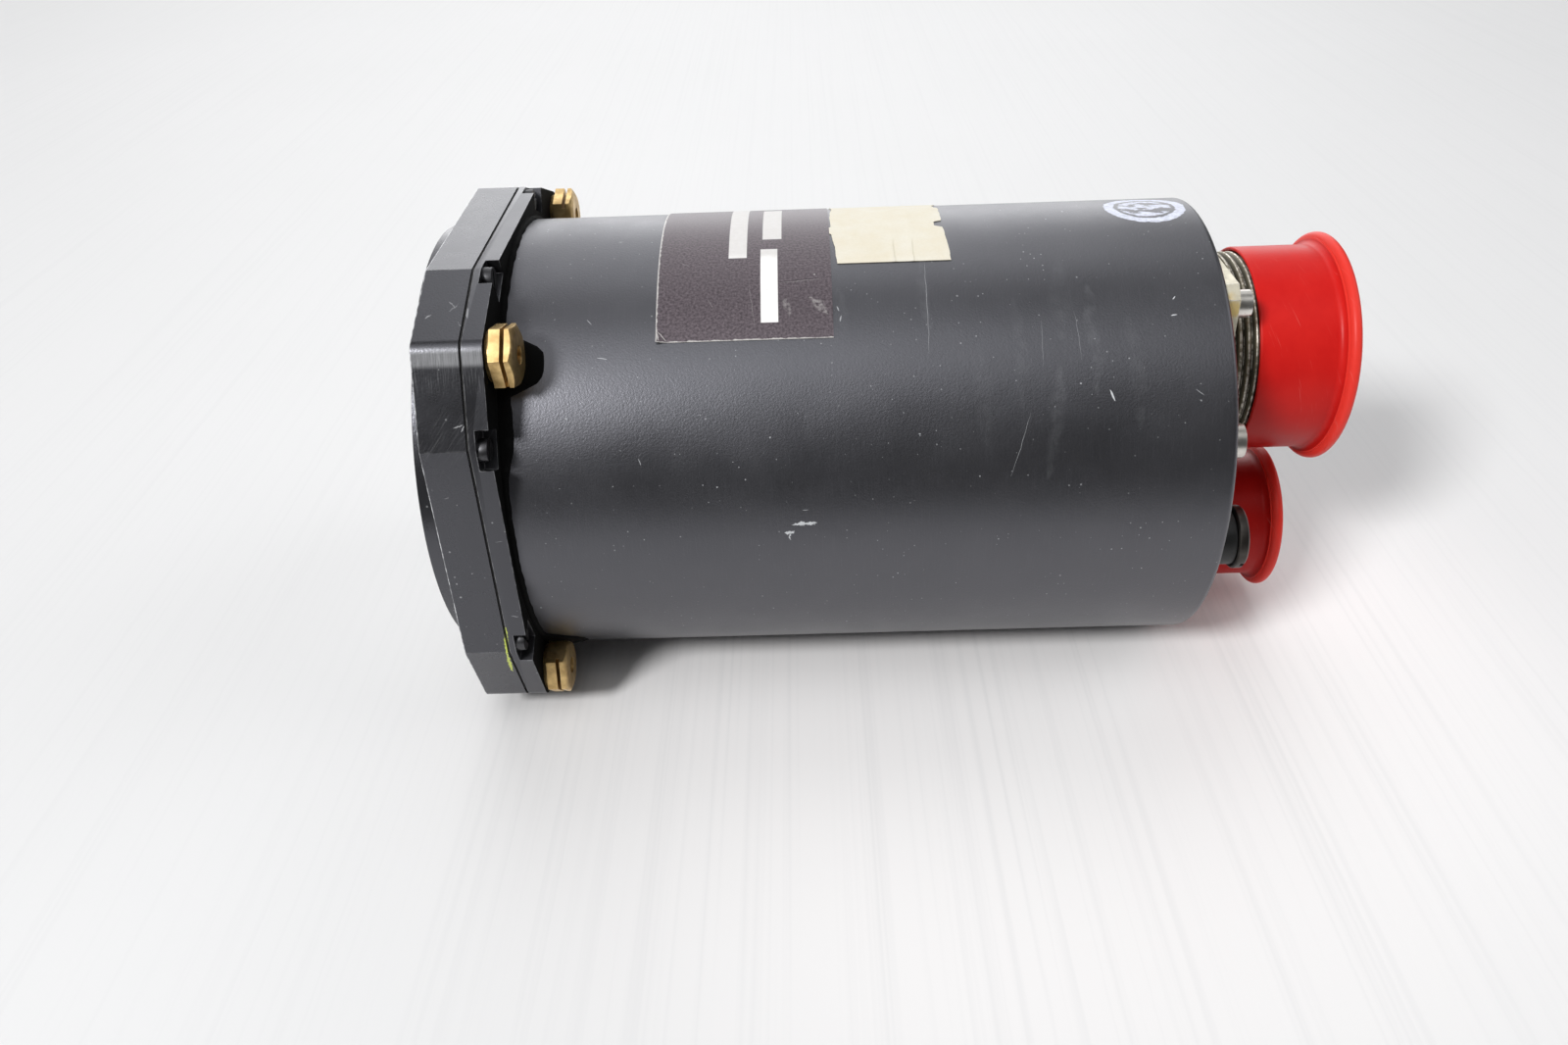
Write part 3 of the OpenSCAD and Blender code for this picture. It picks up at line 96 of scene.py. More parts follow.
# %% A helper that wires nodes
class Wiring:
    """Adds nodes to a tree; an input given as a socket is linked, and any other value is filled in.

    A colour is given as its three parts, and it is opaque.
    """

    def __init__(self, tree):
        self.tree = tree

    def fill(self, socket, value):
        if isinstance(value, bpy.types.NodeSocket):
            self.tree.links.new(value, socket)
        elif socket.type == "RGBA":
            socket.default_value = (*value, 1.0)
        else:
            socket.default_value = value

    def node(self, kind, inputs=None, **options):
        node = self.tree.nodes.new("ShaderNode" + kind)
        for name, value in options.items():
            setattr(node, name, value)
        for name, value in (inputs or {}).items():
            self.fill(node.inputs[name], value)
        return node

    def math(self, operation, *values):
        node = self.node("Math", operation=operation)
        for socket, value in zip(node.inputs, values):
            self.fill(socket, value)
        return node.outputs[0]

    def times(self, first, *others):
        """All the values multiplied."""
        for other in others:
            first = self.math("MULTIPLY", first, other)
        return first

    def most(self, first, *others):
        """The largest of the values."""
        for other in others:
            first = self.math("MAXIMUM", first, other)
        return first

    def vector(self, operation, *values):
        node = self.node("VectorMath", operation=operation)
        for socket, value in zip(node.inputs, values):
            self.fill(socket, value)
        return node.outputs["Value" if operation in ("LENGTH", "DOT_PRODUCT", "DISTANCE") else "Vector"]

    def parts(self, vector):
        return self.node("SeparateXYZ", {"Vector": vector}).outputs

    def point(self, x, y, z):
        return self.node("CombineXYZ", {"X": x, "Y": y, "Z": z}).outputs[0]

    def blend(self, mask, below, above):
        node = self.node("Mix", data_type="RGBA")
        self.fill(node.inputs[0], mask)
        self.fill(node.inputs[6], below)
        self.fill(node.inputs[7], above)
        return node.outputs[2]

    def between(self, mask, low, high):
        """low where the mask is 0 and high where it is 1."""
        node = self.node("Mix", data_type="FLOAT")
        self.fill(node.inputs[0], mask)
        self.fill(node.inputs[2], low)
        self.fill(node.inputs[3], high)
        return node.outputs[0]

    def step(self, value, start, end):
        """0 at start and 1 at end, with a smooth rise between them."""
        inputs = {"Value": value, "From Min": start, "From Max": end}
        return self.node("MapRange", inputs, interpolation_type="SMOOTHSTEP").outputs[0]

    def band(self, value, low, high, soft):
        """1 between low and high, and 0 outside, with a soft rim."""
        rise = self.step(value, low - soft, low + soft)
        return self.times(rise, self.step(value, high + soft, high - soft))

    def noise(self, vector, scale, detail=3.0, roughness=0.5):
        inputs = {"Vector": vector, "Scale": scale, "Detail": detail, "Roughness": roughness}
        return self.node("TexNoise", inputs).outputs[0]

    def group(self, tree, inputs):
        node = self.node("Group", node_tree=tree)
        for name, value in inputs.items():
            self.fill(node.inputs[name], value)
        return node.outputs


def new_group(name, inputs, outputs):
    """An empty shader group: its inputs are (name, kind, default) and its outputs are (name, kind)."""
    tree = bpy.data.node_groups.new(name, "ShaderNodeTree")
    for label, kind, default in inputs:
        socket = tree.interface.new_socket(name=label, in_out="INPUT", socket_type="NodeSocket" + kind)
        if default is not None:
            socket.default_value = default
    for label, kind in outputs:
        tree.interface.new_socket(name=label, in_out="OUTPUT", socket_type="NodeSocket" + kind)
    given = tree.nodes.new("NodeGroupInput").outputs
    result = tree.nodes.new("NodeGroupOutput").inputs
    return Wiring(tree), given, result


# %% [markdown]
# # Effects that finishes share
# Dust, cloudy patches and fine grain show on nearly every surface of an old instrument. Each effect is
# built once as a node group that works in millimetres, and every finish then places it with its own
# sizes. The first one only measures: it unrolls the round case like a label, into millimetres along
# the axis and millimetres round from the top, so that marks can be laid out as on a flat sheet.

# %% Unroll the case
wiring, given, unrolled = new_group("unrolled case", [], [("Sheet", "Vector")])
seen = wiring.parts(wiring.node("TexCoord").outputs["Object"])
along = wiring.times(seen[0], 1 / MM)
angle = wiring.math("ARCTAN2", wiring.times(seen[1], -1.0), seen[2])
wiring.fill(unrolled["Sheet"], wiring.point(along, wiring.times(angle, CASE_R), 0.0))
unrolled_case = wiring.tree

# %% Cloudy patches
wiring, given, result = new_group("patches", [("Place", "Vector", None), ("Size", "Float", 5.0),
                                              ("Contrast", "Float", 2.0)], [("Amount", "Float")])
cloud = wiring.noise(given["Place"], wiring.math("DIVIDE", 1.0, given["Size"]), detail=4.0, roughness=0.6)
spread = wiring.times(wiring.math("SUBTRACT", cloud, 0.5), given["Contrast"])
clamped = wiring.node("Clamp", {"Value": wiring.math("ADD", spread, 0.5)}).outputs[0]
wiring.fill(result["Amount"], clamped)
patches = wiring.tree

# %% Specks of dust and small chips
wiring, given, result = new_group("specks", [("Place", "Vector", None), ("Spacing", "Float", 4.0),
                                             ("Size", "Float", 0.3), ("Cover", "Float", 0.5)],
                                  [("Mask", "Float")])
cells = wiring.node("TexVoronoi", {"Vector": given["Place"],
                                   "Scale": wiring.math("DIVIDE", 1.0, given["Spacing"])})
chance = wiring.node("SeparateColor", {"Color": cells.outputs["Color"]}).outputs
chosen = wiring.math("LESS_THAN", chance[1], given["Cover"])
radius = wiring.times(wiring.math("POWER", chance[0], 2.0), given["Size"], chosen)
reach = wiring.times(cells.outputs["Distance"], given["Spacing"])
wiring.fill(result["Mask"], wiring.step(reach, radius, wiring.times(radius, 0.5)))
specks = wiring.tree

# %% Fine lines that all run one way
wiring, given, result = new_group("fine lines", [("Place", "Vector", None),
                                                 ("Across", "Vector", (0.0, 1.0, 0.0)),
                                                 ("Width", "Float", 0.1), ("Length", "Float", 6.0)],
                                  [("Amount", "Float")])
across = wiring.vector("DOT_PRODUCT", given["Place"], given["Across"])
flat = wiring.vector("SUBTRACT", given["Place"], wiring.vector("MULTIPLY", given["Across"],
                                                               wiring.point(across, across, across)))
long_way = wiring.node("VectorMath", {"Vector": flat, "Scale": wiring.math("DIVIDE", 1.0, given["Length"])},
                       operation="SCALE").outputs[0]
narrow = wiring.math("DIVIDE", across, given["Width"])
lines_at = wiring.vector("ADD", long_way, wiring.vector("MULTIPLY", given["Across"],
                                                        wiring.point(narrow, narrow, narrow)))
wiring.fill(result["Amount"], wiring.noise(lines_at, 1.0, detail=2.0, roughness=0.6))
fine_lines = wiring.tree

# %% A stroke from one point to another
wiring, given, result = new_group("stroke", [("Place", "Vector", None), ("From", "Vector", (0.0, 0.0, 0.0)),
                                             ("To", "Vector", (1.0, 0.0, 0.0)), ("Width", "Float", 0.1)],
                                  [("Mask", "Float")])
run = wiring.vector("SUBTRACT", given["To"], given["From"])
offset = wiring.vector("SUBTRACT", given["Place"], given["From"])
share = wiring.math("DIVIDE", wiring.vector("DOT_PRODUCT", offset, run),
                    wiring.vector("DOT_PRODUCT", run, run))
share = wiring.node("Clamp", {"Value": share}).outputs[0]
nearest = wiring.node("VectorMath", {"Vector": run, "Scale": share}, operation="SCALE").outputs[0]
away = wiring.vector("DISTANCE", offset, nearest)
swell = wiring.times(share, wiring.math("SUBTRACT", 1.0, share))
width = wiring.times(given["Width"], wiring.math("MULTIPLY_ADD", swell, 3.0, 0.25))
wiring.fill(result["Mask"], wiring.step(away, width, wiring.times(width, 0.3)))
stroke = wiring.tree
print("groups:", [group.name for group in bpy.data.node_groups])


# %% Short names for the shared effects
def on_sheet(wiring):
    """The place on the unrolled case."""
    return wiring.group(unrolled_case, {})["Sheet"]


def clouds(wiring, place, size, contrast):
    """Cloudy patches: 0 to 1, about one patch in each size."""
    return wiring.group(patches, {"Place": place, "Size": size, "Contrast": contrast})["Amount"]


def flecks(wiring, place, spacing, size, cover):
    """Specks: one in each cell of the spacing at most, and cover is the share of cells that get one."""
    return wiring.group(specks, {"Place": place, "Spacing": spacing, "Size": size, "Cover": cover})["Mask"]


def hairlines(wiring, place, across, width, length):
    """Fine parallel lines: 0 to 1, across is the direction that crosses them."""
    inputs = {"Place": place, "Across": across, "Width": width, "Length": length}
    return wiring.group(fine_lines, inputs)["Amount"]


def worn_edge(wiring):
    """The mark that the mesh carries on its worn edges, see further down."""
    return wiring.node("Attribute", attribute_name="edge").outputs["Fac"]


# %% [markdown]
# # A place to start a finish
# Each finish is one material with the Principled shader. Numbers that are the same all over are set
# straight on the shader, and only what changes over the surface comes from nodes. Patterns read Object
# coordinates in millimetres, which stay put on the surface from every side.


# %% Start a finish
def start_finish(name, roughness=0.5, metallic=0.0, **constants):
    """A new material; returns it with its wiring, its shader and a place in millimetres."""
    material = bpy.data.materials.new(name)
    material.use_nodes = True
    wiring = Wiring(material.node_tree)
    shader = material.node_tree.nodes["Principled BSDF"]
    constants = {"Roughness": roughness, "Metallic": metallic, **constants}
    for socket, value in constants.items():
        wiring.fill(shader.inputs[socket], value)
    place = wiring.vector("MULTIPLY", wiring.node("TexCoord").outputs["Object"], (1 / MM,) * 3)
    return material, wiring, shader, place


def grey(value, tint):
    """A level of grey with a tint."""
    return tuple(value * part for part in tint)


def add_bump(wiring, shader, height, depth_mm):
    """Raises the surface by height, which runs from 0 to 1, times a depth in millimetres."""
    bump = wiring.node("Bump", {"Height": height, "Distance": depth_mm * MM, "Strength": 1.0})
    wiring.fill(shader.inputs["Normal"], bump.outputs[0])


# %% [markdown]
# # Black enamel on the case
# The case is aluminium tube under satin black enamel. Up close the enamel is never one black: it is a
# little cloudy, has a fine grain, and carries dust, hairlines and a few rubbed spots. The base stays
# nearly black and the roughness does most of the work, because a satin black mostly shows what it
# reflects. The named marks are laid out on the unrolled sheet: x along the axis, then round.

# %% The case's own marks
ENAMEL_IOR = 2.0
BLUISH = (0.90, 0.905, 1.0)
RING_AT, RING_R, RING_INSIDE, FIGURE_R = (119.7, -2.6), 6.9, 5.2, 4.5
SCRATCHES = [
    ((80.2, 13.4), (79.9, 31.4), 0.06, 0.40),
    ((65.6, 22.6), (65.9, 23.4), 0.14, 0.50), ((66.2, 24.2), (66.0, 25.3), 0.16, 0.50),
    ((95.6, 41.4), (92.5, 51.4), 0.05, 0.42),
    ((27.0, 30.4), (28.6, 30.7), 0.10, 0.60), ((25.2, 23.6), (26.0, 24.6), 0.08, 0.50),
    ((108.1, 38.1), (108.8, 39.9), 0.20, 0.90), ((118.6, 26.2), (119.6, 26.0), 0.16, 0.85),
    ((119.2, 23.2), (119.7, 22.6), 0.15, 0.80), ((59.0, 56.1), (60.0, 56.1), 0.07, 0.60),
    ((33.2, 46.8), (33.6, 47.9), 0.09, 0.50), ((98.0, 26.4), (97.8, 34.0), 0.05, 0.25),
    ((103.4, 24.8), (103.9, 33.2), 0.06, 0.25), ((121.5, 38.4), (122.8, 39.3), 0.07, 0.55),
]
WIPES = [
    ((79.6, 13.0), (79.9, 27.0), 1.2, 0.7), ((94.0, 22.0), (94.4, 40.0), 1.6, 0.5),
    ((105.6, 20.0), (106.4, 39.0), 1.5, 1.0), ((100.4, 34.0), (98.6, 52.0), 1.6, 0.8),
    ((66.0, 19.0), (66.4, 28.0), 1.4, 0.6), ((102.0, 14.0), (101.0, 30.0), 2.4, 0.5),
    ((112.0, 26.0), (113.0, 44.0), 1.8, 0.5), ((88.0, 30.0), (88.6, 46.0), 2.2, 0.35),
]
CHIPS = [
    ((57.4, 58.8), (61.4, 58.4), 0.36, 0.85), ((56.2, 60.2), (57.6, 60.0), 0.42, 0.85),
    ((57.1, 60.2), (56.9, 61.5), 0.2, 0.85),
]


def round_spot(wiring, sheet, at, radius, soft):
    """1 within a radius of a point on the unrolled sheet, and 0 outside."""
    distance = wiring.vector("DISTANCE", sheet, (at[0], at[1], 0.0))
    return wiring.step(distance, radius + soft, radius - soft)


def strokes(wiring, sheet, rows):
    """The strongest of several strokes; a row is (from, to, half width, strength)."""
    strongest = 0.0
    for start, end, width, strength in rows:
        mask = wiring.group(stroke, {"Place": sheet, "From": start + (0.0,), "To": end + (0.0,),
                                     "Width": width})["Mask"]
        strongest = wiring.most(wiring.times(mask, strength), strongest)
    return strongest


def shaken(wiring, sheet, size, reach):
    """The sheet pushed about by noise, which turns a clean outline into a ragged one."""
    push = wiring.node("TexNoise", {"Vector": sheet, "Scale": 1 / size, "Detail": 3.0}).outputs["Color"]
    push = wiring.vector("MULTIPLY", wiring.vector("SUBTRACT", push, (0.5, 0.5, 0.5)), (reach, reach, 0.0))
    return wiring.vector("ADD", sheet, push)


case_enamel, wiring, shader, place = start_finish("case enamel", IOR=ENAMEL_IOR,
                                                  **{"Specular Tint": BLUISH})
sheet = on_sheet(wiring)
sheet_x, sheet_s = wiring.parts(sheet)[:2]
cloudy = clouds(wiring, place, 9.0, 1.8)
brushed = hairlines(wiring, sheet, (1.0, 0.0, 0.0), 0.22, 5.0)
color = wiring.blend(cloudy, grey(0.008, (0.98, 0.98, 1.08)), grey(0.015, (1.0, 0.98, 1.04)))
color = wiring.blend(wiring.step(brushed, 0.5, 0.8), color, grey(0.021, (0.98, 0.98, 1.06)))
dust = flecks(wiring, shaken(wiring, place, 0.5, 0.4), 1.7, 0.23, 0.5)
settled = clouds(wiring, wiring.vector("ADD", place, (31.0, 7.0, 0.0)), 13.0, 4.0)
dust = wiring.times(dust, wiring.between(settled, 0.25, 1.25))
fine_dust = flecks(wiring, place, 0.85, 0.17, 0.5)
fine_dust = wiring.times(fine_dust, wiring.between(settled, 0.5, 1.2))
stretched = wiring.vector("MULTIPLY", sheet, (0.3, 1.0, 1.0))
nicks = flecks(wiring, stretched, 4.6, 0.2, 0.3)
scratches = strokes(wiring, shaken(wiring, sheet, 3.0, 0.5), SCRATCHES)
chips = strokes(wiring, shaken(wiring, sheet, 0.7, 1.3), CHIPS)
streaky = hairlines(wiring, sheet, (1.0, 0.0, 0.0), 0.8, 9.0)
clotted = clouds(wiring, sheet, 2.2, 3.5)
wiped = strokes(wiring, shaken(wiring, sheet, 5.0, 3.0), WIPES)
smears = wiring.times(wiped, wiring.between(streaky, 0.25, 1.0), clotted)
inked = shaken(wiring, sheet, 1.2, 0.8)
ring = wiring.math("SUBTRACT", round_spot(wiring, inked, RING_AT, RING_R, 0.12),
                   round_spot(wiring, inked, RING_AT, RING_INSIDE, 0.15))
worn_ink = clouds(wiring, sheet, 0.9, 5.0)
figure = clouds(wiring, wiring.vector("MULTIPLY", sheet, (0.6, 1.0, 1.0)), 2.0, 14.0)
figure = wiring.times(figure, round_spot(wiring, inked, RING_AT, FIGURE_R, 0.2))
ink = wiring.times(wiring.most(ring, figure), wiring.between(worn_ink, 0.7, 1.0))
pale = wiring.most(wiring.times(dust, 0.55), wiring.times(fine_dust, 0.4), wiring.times(nicks, 0.3),
                   wiring.times(smears, 0.07), scratches, chips)
color = wiring.blend(pale, color, grey(0.62, (0.97, 1.0, 1.02)))
wiring.fill(shader.inputs["Base Color"], wiring.blend(ink, color, grey(0.80, (0.92, 0.96, 1.12))))
rubbed = clouds(wiring, sheet, 14.0, 2.2)
gloss = wiring.between(rubbed, 0.32, 0.40)
gloss = wiring.math("ADD", gloss, wiring.times(brushed, 0.03))
wiring.fill(shader.inputs["Roughness"], wiring.between(wiring.most(pale, ink), gloss, 0.65))
add_bump(wiring, shader, wiring.noise(place, 2.7, detail=3.0, roughness=0.65), 0.035)
print("case enamel:", len(case_enamel.node_tree.nodes), "nodes")

# %% [markdown]
# # Paint on the cast bezel
# The bezel and the flange wear harder paint than the case. Where the edges have been handled, the paint
# is polished and rubbed through to a pale grey. The worn edge can't be guessed from the shape by a
# simple node, so the mesh carries it: the narrow faces that a bevel adds are marked in a face
# attribute called edge, and the finish breaks that mark up with noise.

# %% Enamel with rubbed edges
FOLD_Z = 33.4
LACQUER = [((8.0, -14.6), (7.25, -21.0), 0.45, 1.0), ((7.2, -20.6), (6.8, -26.4), 0.42, 1.0)]
SCUFFS = [
    ((4.9, 38.6), (5.9, 38.2), 0.08, 0.30), ((5.2, 37.9), (6.4, 38.5), 0.07, 0.24),
    ((7.6, 38.3), (8.3, 37.3), 0.30, 0.35), ((1.6, 37.3), (2.5, 37.6), 0.09, 0.50),
    ((7.0, 36.9), (8.2, 36.4), 0.08, 0.25), ((5.8, 23.4), (7.3, 23.8), 0.16, 0.60),
    ((6.9, 22.9), (7.5, 23.6), 0.20, 0.60), ((2.4, 11.6), (3.3, 11.9), 0.07, 0.40),
    ((9.2, 3.0), (10.4, 3.2), 0.07, 0.30), ((4.2, -3.1), (4.6, -3.0), 0.08, 0.55),
    ((9.3, -12.2), (10.6, -12.3), 0.07, 0.50),
]


def rubbed_enamel(name, roughness, wear):
    """Satin enamel whose bevelled edges are rubbed pale; wear is the share of the edge that shows it."""
    material, wiring, shader, place = start_finish(name, IOR=1.8, **{"Specular Tint": BLUISH})
    cloudy = clouds(wiring, place, 6.0, 2.0)
    color = wiring.blend(cloudy, grey(0.0085, (0.98, 0.98, 1.06)), grey(0.0115, (0.98, 0.98, 1.06)))
    dust = flecks(wiring, place, 1.6, 0.28, 0.45)
    edge = worn_edge(wiring)
    broken = clouds(wiring, place, 1.6, 5.0)
    rubbed = wiring.times(edge, broken, wear)
    place_x, place_y, place_z = wiring.parts(place)
    near_side = wiring.step(place_y, -29.0, -33.0)
    upright = hairlines(wiring, place, (1.0, 0.0, 0.0), 0.16, 3.5)
    slanted = hairlines(wiring, place, (0.8, 0.0, -0.6), 0.2, 5.0)
    hatch = wiring.times(wiring.band(place_z, FOLD_Z - 4.6, FOLD_Z, 1.4), wiring.step(upright, 0.5, 0.7))
    # The upper near fold is painted pale: partly paint polished by handling, partly a painted highlight.
    fold_wear_and_highlight = wiring.times(wiring.band(place_z, FOLD_Z - 1.2, FOLD_Z + 1.2, 0.5),
                        wiring.between(upright, 0.05, 0.75))
    flat_rub = wiring.times(wiring.band(place_z, 18.5, 25.5, 2.0), wiring.step(slanted, 0.52, 0.72))
    scratches = wiring.most(wiring.times(hatch, 0.12), wiring.times(flat_rub, 0.07))
    scratches = wiring.times(wiring.most(scratches, fold_wear_and_highlight), near_side)
    seam = shaken(wiring, wiring.point(place_x, place_z, 0.0), 0.8, 0.7)
    scuffs = wiring.times(strokes(wiring, seam, SCUFFS), wiring.step(place_y, -14.0, -16.0))
    bright_line = wiring.times(wiring.step(edge, 1.2, 2.0), wiring.between(broken, 0.25, 0.7))
    pale = wiring.most(wiring.times(dust, 0.4), wiring.times(rubbed, 0.6), bright_line, scratches, scuffs)
    color = wiring.blend(pale, color, grey(0.5, (0.99, 1.0, 1.02)))
    lacquer = wiring.times(strokes(wiring, seam, LACQUER), near_side)
    wiring.fill(shader.inputs["Base Color"], wiring.blend(lacquer, color, (0.52, 0.60, 0.06)))
    gloss = wiring.between(cloudy, roughness - 0.03, roughness + 0.04)
    wiring.fill(shader.inputs["Roughness"], wiring.between(scratches, gloss, 0.3))
    add_bump(wiring, shader, wiring.noise(place, 3.0, detail=3.0, roughness=0.6), 0.02)
    return material


bezel_enamel = rubbed_enamel("bezel enamel", 0.27, 0.8)
flange_enamel = rubbed_enamel("flange enamel", 0.31, 0.5)

# %% [markdown]
# # Metals
# Metal shows little colour of its own and a lot of what is around it, so its finish is a base tint,
# a roughness that wanders, and the fine lines a tool left. One recipe serves brass, steel and
# aluminium: the tint is darkened by patches of tarnish, and the tool lines go into the roughness and a
# very shallow bump.


# %% A recipe for machined metal
def machined(name, tint, tarnish, roughness, across=(1.0, 0.0, 0.0), line=0.12, depth=0.004, patch=2.5,
             share=0.6):
    """Bare metal with tool lines; tarnish is the darker tint of its patches and share how far they go."""
    material, wiring, shader, place = start_finish(name, metallic=1.0)
    cloudy = clouds(wiring, place, patch, 3.0)
    lines = hairlines(wiring, place, across, line, 8.0)
    dark = wiring.times(cloudy, share)
    color = wiring.blend(dark, tint, tarnish)
    grime = flecks(wiring, place, 1.4, 0.2, 0.35)
    color = wiring.blend(wiring.times(grime, 0.5), color, tuple(0.3 * c for c in tarnish))
    wiring.fill(shader.inputs["Base Color"], color)
    gloss = wiring.between(lines, roughness - 0.07, roughness + 0.07)
    wiring.fill(shader.inputs["Roughness"], wiring.between(dark, gloss, roughness + 0.15))
    add_bump(wiring, shader, lines, depth)
    return material


nut_brass = machined("nut brass", (0.80, 0.58, 0.27), (0.26, 0.15, 0.05), 0.34, patch=2.6, share=0.75)
gear_brass = machined("gear brass", (0.78, 0.62, 0.32), (0.5, 0.36, 0.16), 0.3)
bronze = machined("bearing bronze", (0.6, 0.42, 0.22), (0.36, 0.23, 0.11), 0.42, depth=0.008)
nickel = machined("nickel plate", (0.74, 0.72, 0.68), (0.45, 0.42, 0.37), 0.28)
dark_steel = machined("oxidised steel", (0.16, 0.155, 0.15), (0.06, 0.058, 0.055), 0.42)
black_screw = machined("blackened screws", (0.09, 0.09, 0.095), (0.03, 0.03, 0.032), 0.38)
ground_steel = machined("ground steel", (0.58, 0.58, 0.59), (0.4, 0.4, 0.41), 0.3, line=0.08)
aluminium = machined("passivated aluminium", (0.7, 0.7, 0.7), (0.52, 0.52, 0.53), 0.38, across=(0, 1.0, 0))
tin_cans = machined("tin plate", (0.66, 0.66, 0.67), (0.48, 0.48, 0.49), 0.34)
gold_pins = machined("gold plate", (0.86, 0.66, 0.28), (0.6, 0.42, 0.16), 0.26)
grey_metal = machined("dull grey metal", (0.075, 0.068, 0.062), (0.03, 0.028, 0.026), 0.36)

# %% [markdown]
# # Anodised connectors
# The connector shells are aluminium with a chromate coat that turned pale yellow on the square flange
# and dark olive on the threads. Both are one coat that was handled differently, so it is one finish
# with two tints, and the tint follows the distance along the axis.


# %% Chromate on the connectors
OCHRE_AT = (CASE_END + 1.0, -18.6, 30.4)


def chromate(name, near_tint, far_tint, change_x, axis_z, crest_r):
    """Coated metal: near_tint up to change_x, far_tint on the thread beyond it, and painted shade in the
    thread's roots and on its underside.

    axis_z is the height of the thread's axis and crest_r the radius of its crests.
    """
    material, wiring, shader, place = start_finish(name, metallic=0.75)
    cloudy = clouds(wiring, place, 3.0, 2.6)
    beyond = wiring.step(wiring.parts(place)[0], change_x - 0.1, change_x + 0.1)
    color = wiring.blend(beyond, near_tint, far_tint)
    color = wiring.blend(wiring.times(cloudy, 0.35), color, (0.05, 0.045, 0.03))
    # Painted shade: the thread is darkened in its roots and towards its underside.
    off_axis = wiring.vector("MULTIPLY", wiring.vector("SUBTRACT", place, (0.0, 0.0, axis_z)),
                             (0.0, 1.0, 1.0))
    depth = wiring.step(wiring.vector("DISTANCE", off_axis, (0.0, 0.0, 0.0)), crest_r - 0.05,
                        crest_r - 0.45)
    painted_underside_shade = wiring.step(wiring.parts(off_axis)[2], 0.9 * crest_r, -0.2 * crest_r)
    grime = wiring.times(beyond, wiring.most(wiring.times(depth, 0.7), wiring.times(painted_underside_shade, 0.62)))
    color = wiring.blend(grime, color, (0.016, 0.014, 0.010))
    patch_at = wiring.vector("DISTANCE", shaken(wiring, place, 1.6, 1.6), OCHRE_AT)
    color = wiring.blend(wiring.times(wiring.step(patch_at, 2.9, 2.3), 0.8), color, (0.66, 0.47, 0.14))
    edge = worn_edge(wiring)
    broken = clouds(wiring, place, 0.9, 6.0)
    bare = wiring.times(edge, broken, 0.8)
    wiring.fill(shader.inputs["Base Color"], wiring.blend(bare, color, (0.86, 0.83, 0.76)))
    wiring.fill(shader.inputs["Roughness"], wiring.between(cloudy, 0.39, 0.53))
    add_bump(wiring, shader, wiring.noise(place, 5.0), 0.01)
    return material


main_chromate = chromate("main shell coat", (0.80, 0.75, 0.60), (0.36, 0.33, 0.25), CASE_END + 2.4,
                         13.34, 17.46)
small_chromate = chromate("small shell coat", (0.15, 0.14, 0.11), (0.24, 0.22, 0.17), CASE_END, -23.06, 11.05)

# %% [markdown]
# # Red caps
# The dust caps are moulded in soft red plastic. It is nearly smooth with a low sheen, a little paler
# where it was rubbed, and it carries dust and fine scuffs. The colour is kept strong and the roughness
# is broken up, because a soft plastic never has one even shine.

# %% Red plastic
cap_red, wiring, shader, place = start_finish("red plastic", **{"Specular IOR Level": 0.14})
cloudy = clouds(wiring, place, 7.0, 2.2)
color = wiring.blend(cloudy, (0.52, 0.010, 0.009), (0.60, 0.016, 0.012))
# Painted shade: the cap darkens towards its underside.
painted_underside_shade = wiring.step(wiring.parts(place)[2], 30.0, -8.0)
color = wiring.blend(wiring.times(painted_underside_shade, 0.5), color, (0.26, 0.004, 0.003))
# Painted highlight: the rolled rim is a brighter red.
rim = worn_edge(wiring)
color = wiring.blend(rim, color, (0.72, 0.040, 0.028))
dust = flecks(wiring, place, 2.2, 0.12, 0.4)
scuffs = hairlines(wiring, place, (0.94, 0.2, 0.28), 0.18, 7.0)
scuffs = wiring.times(wiring.step(scuffs, 0.66, 0.78), cloudy)
pale = wiring.most(wiring.times(dust, 0.4), wiring.times(scuffs, 0.25))
wiring.fill(shader.inputs["Base Color"], wiring.blend(pale, color, (0.85, 0.42, 0.38)))
wiring.fill(shader.inputs["Roughness"], wiring.between(cloudy, 0.33, 0.43))
add_bump(wiring, shader, wiring.noise(place, 1.2, detail=4.0), 0.02)

# %% [markdown]
# # The nameplate and the sticker
# The nameplate is dark purplish foil with a grainy etched ground and three pale fields. The sticker is
# old cream paper, torn at both ends and creased across. Both finishes read the unrolled sheet, because
# the labels were flat before they were wrapped.

# %% Etched foil
FIELD_TINT = (0.90, 0.89, 0.88)
FIELDS = [(53.3, 56.1, 9.2, 25.2), (48.0, 51.0, -26.0, 11.4), (53.6, 56.8, -9.7, 6.2)]
FOIL_WIPES = [((61.4, 20.8), (64.0, 23.6), 1.1, 0.9), ((57.2, 20.6), (57.9, 24.2), 0.7, 0.6)]
# The dent is painted as a dark line along its groove: painted shade.
DENT_SHADE = [((56.2, 17.3), (62.9, 16.7), 0.09, 0.8)]
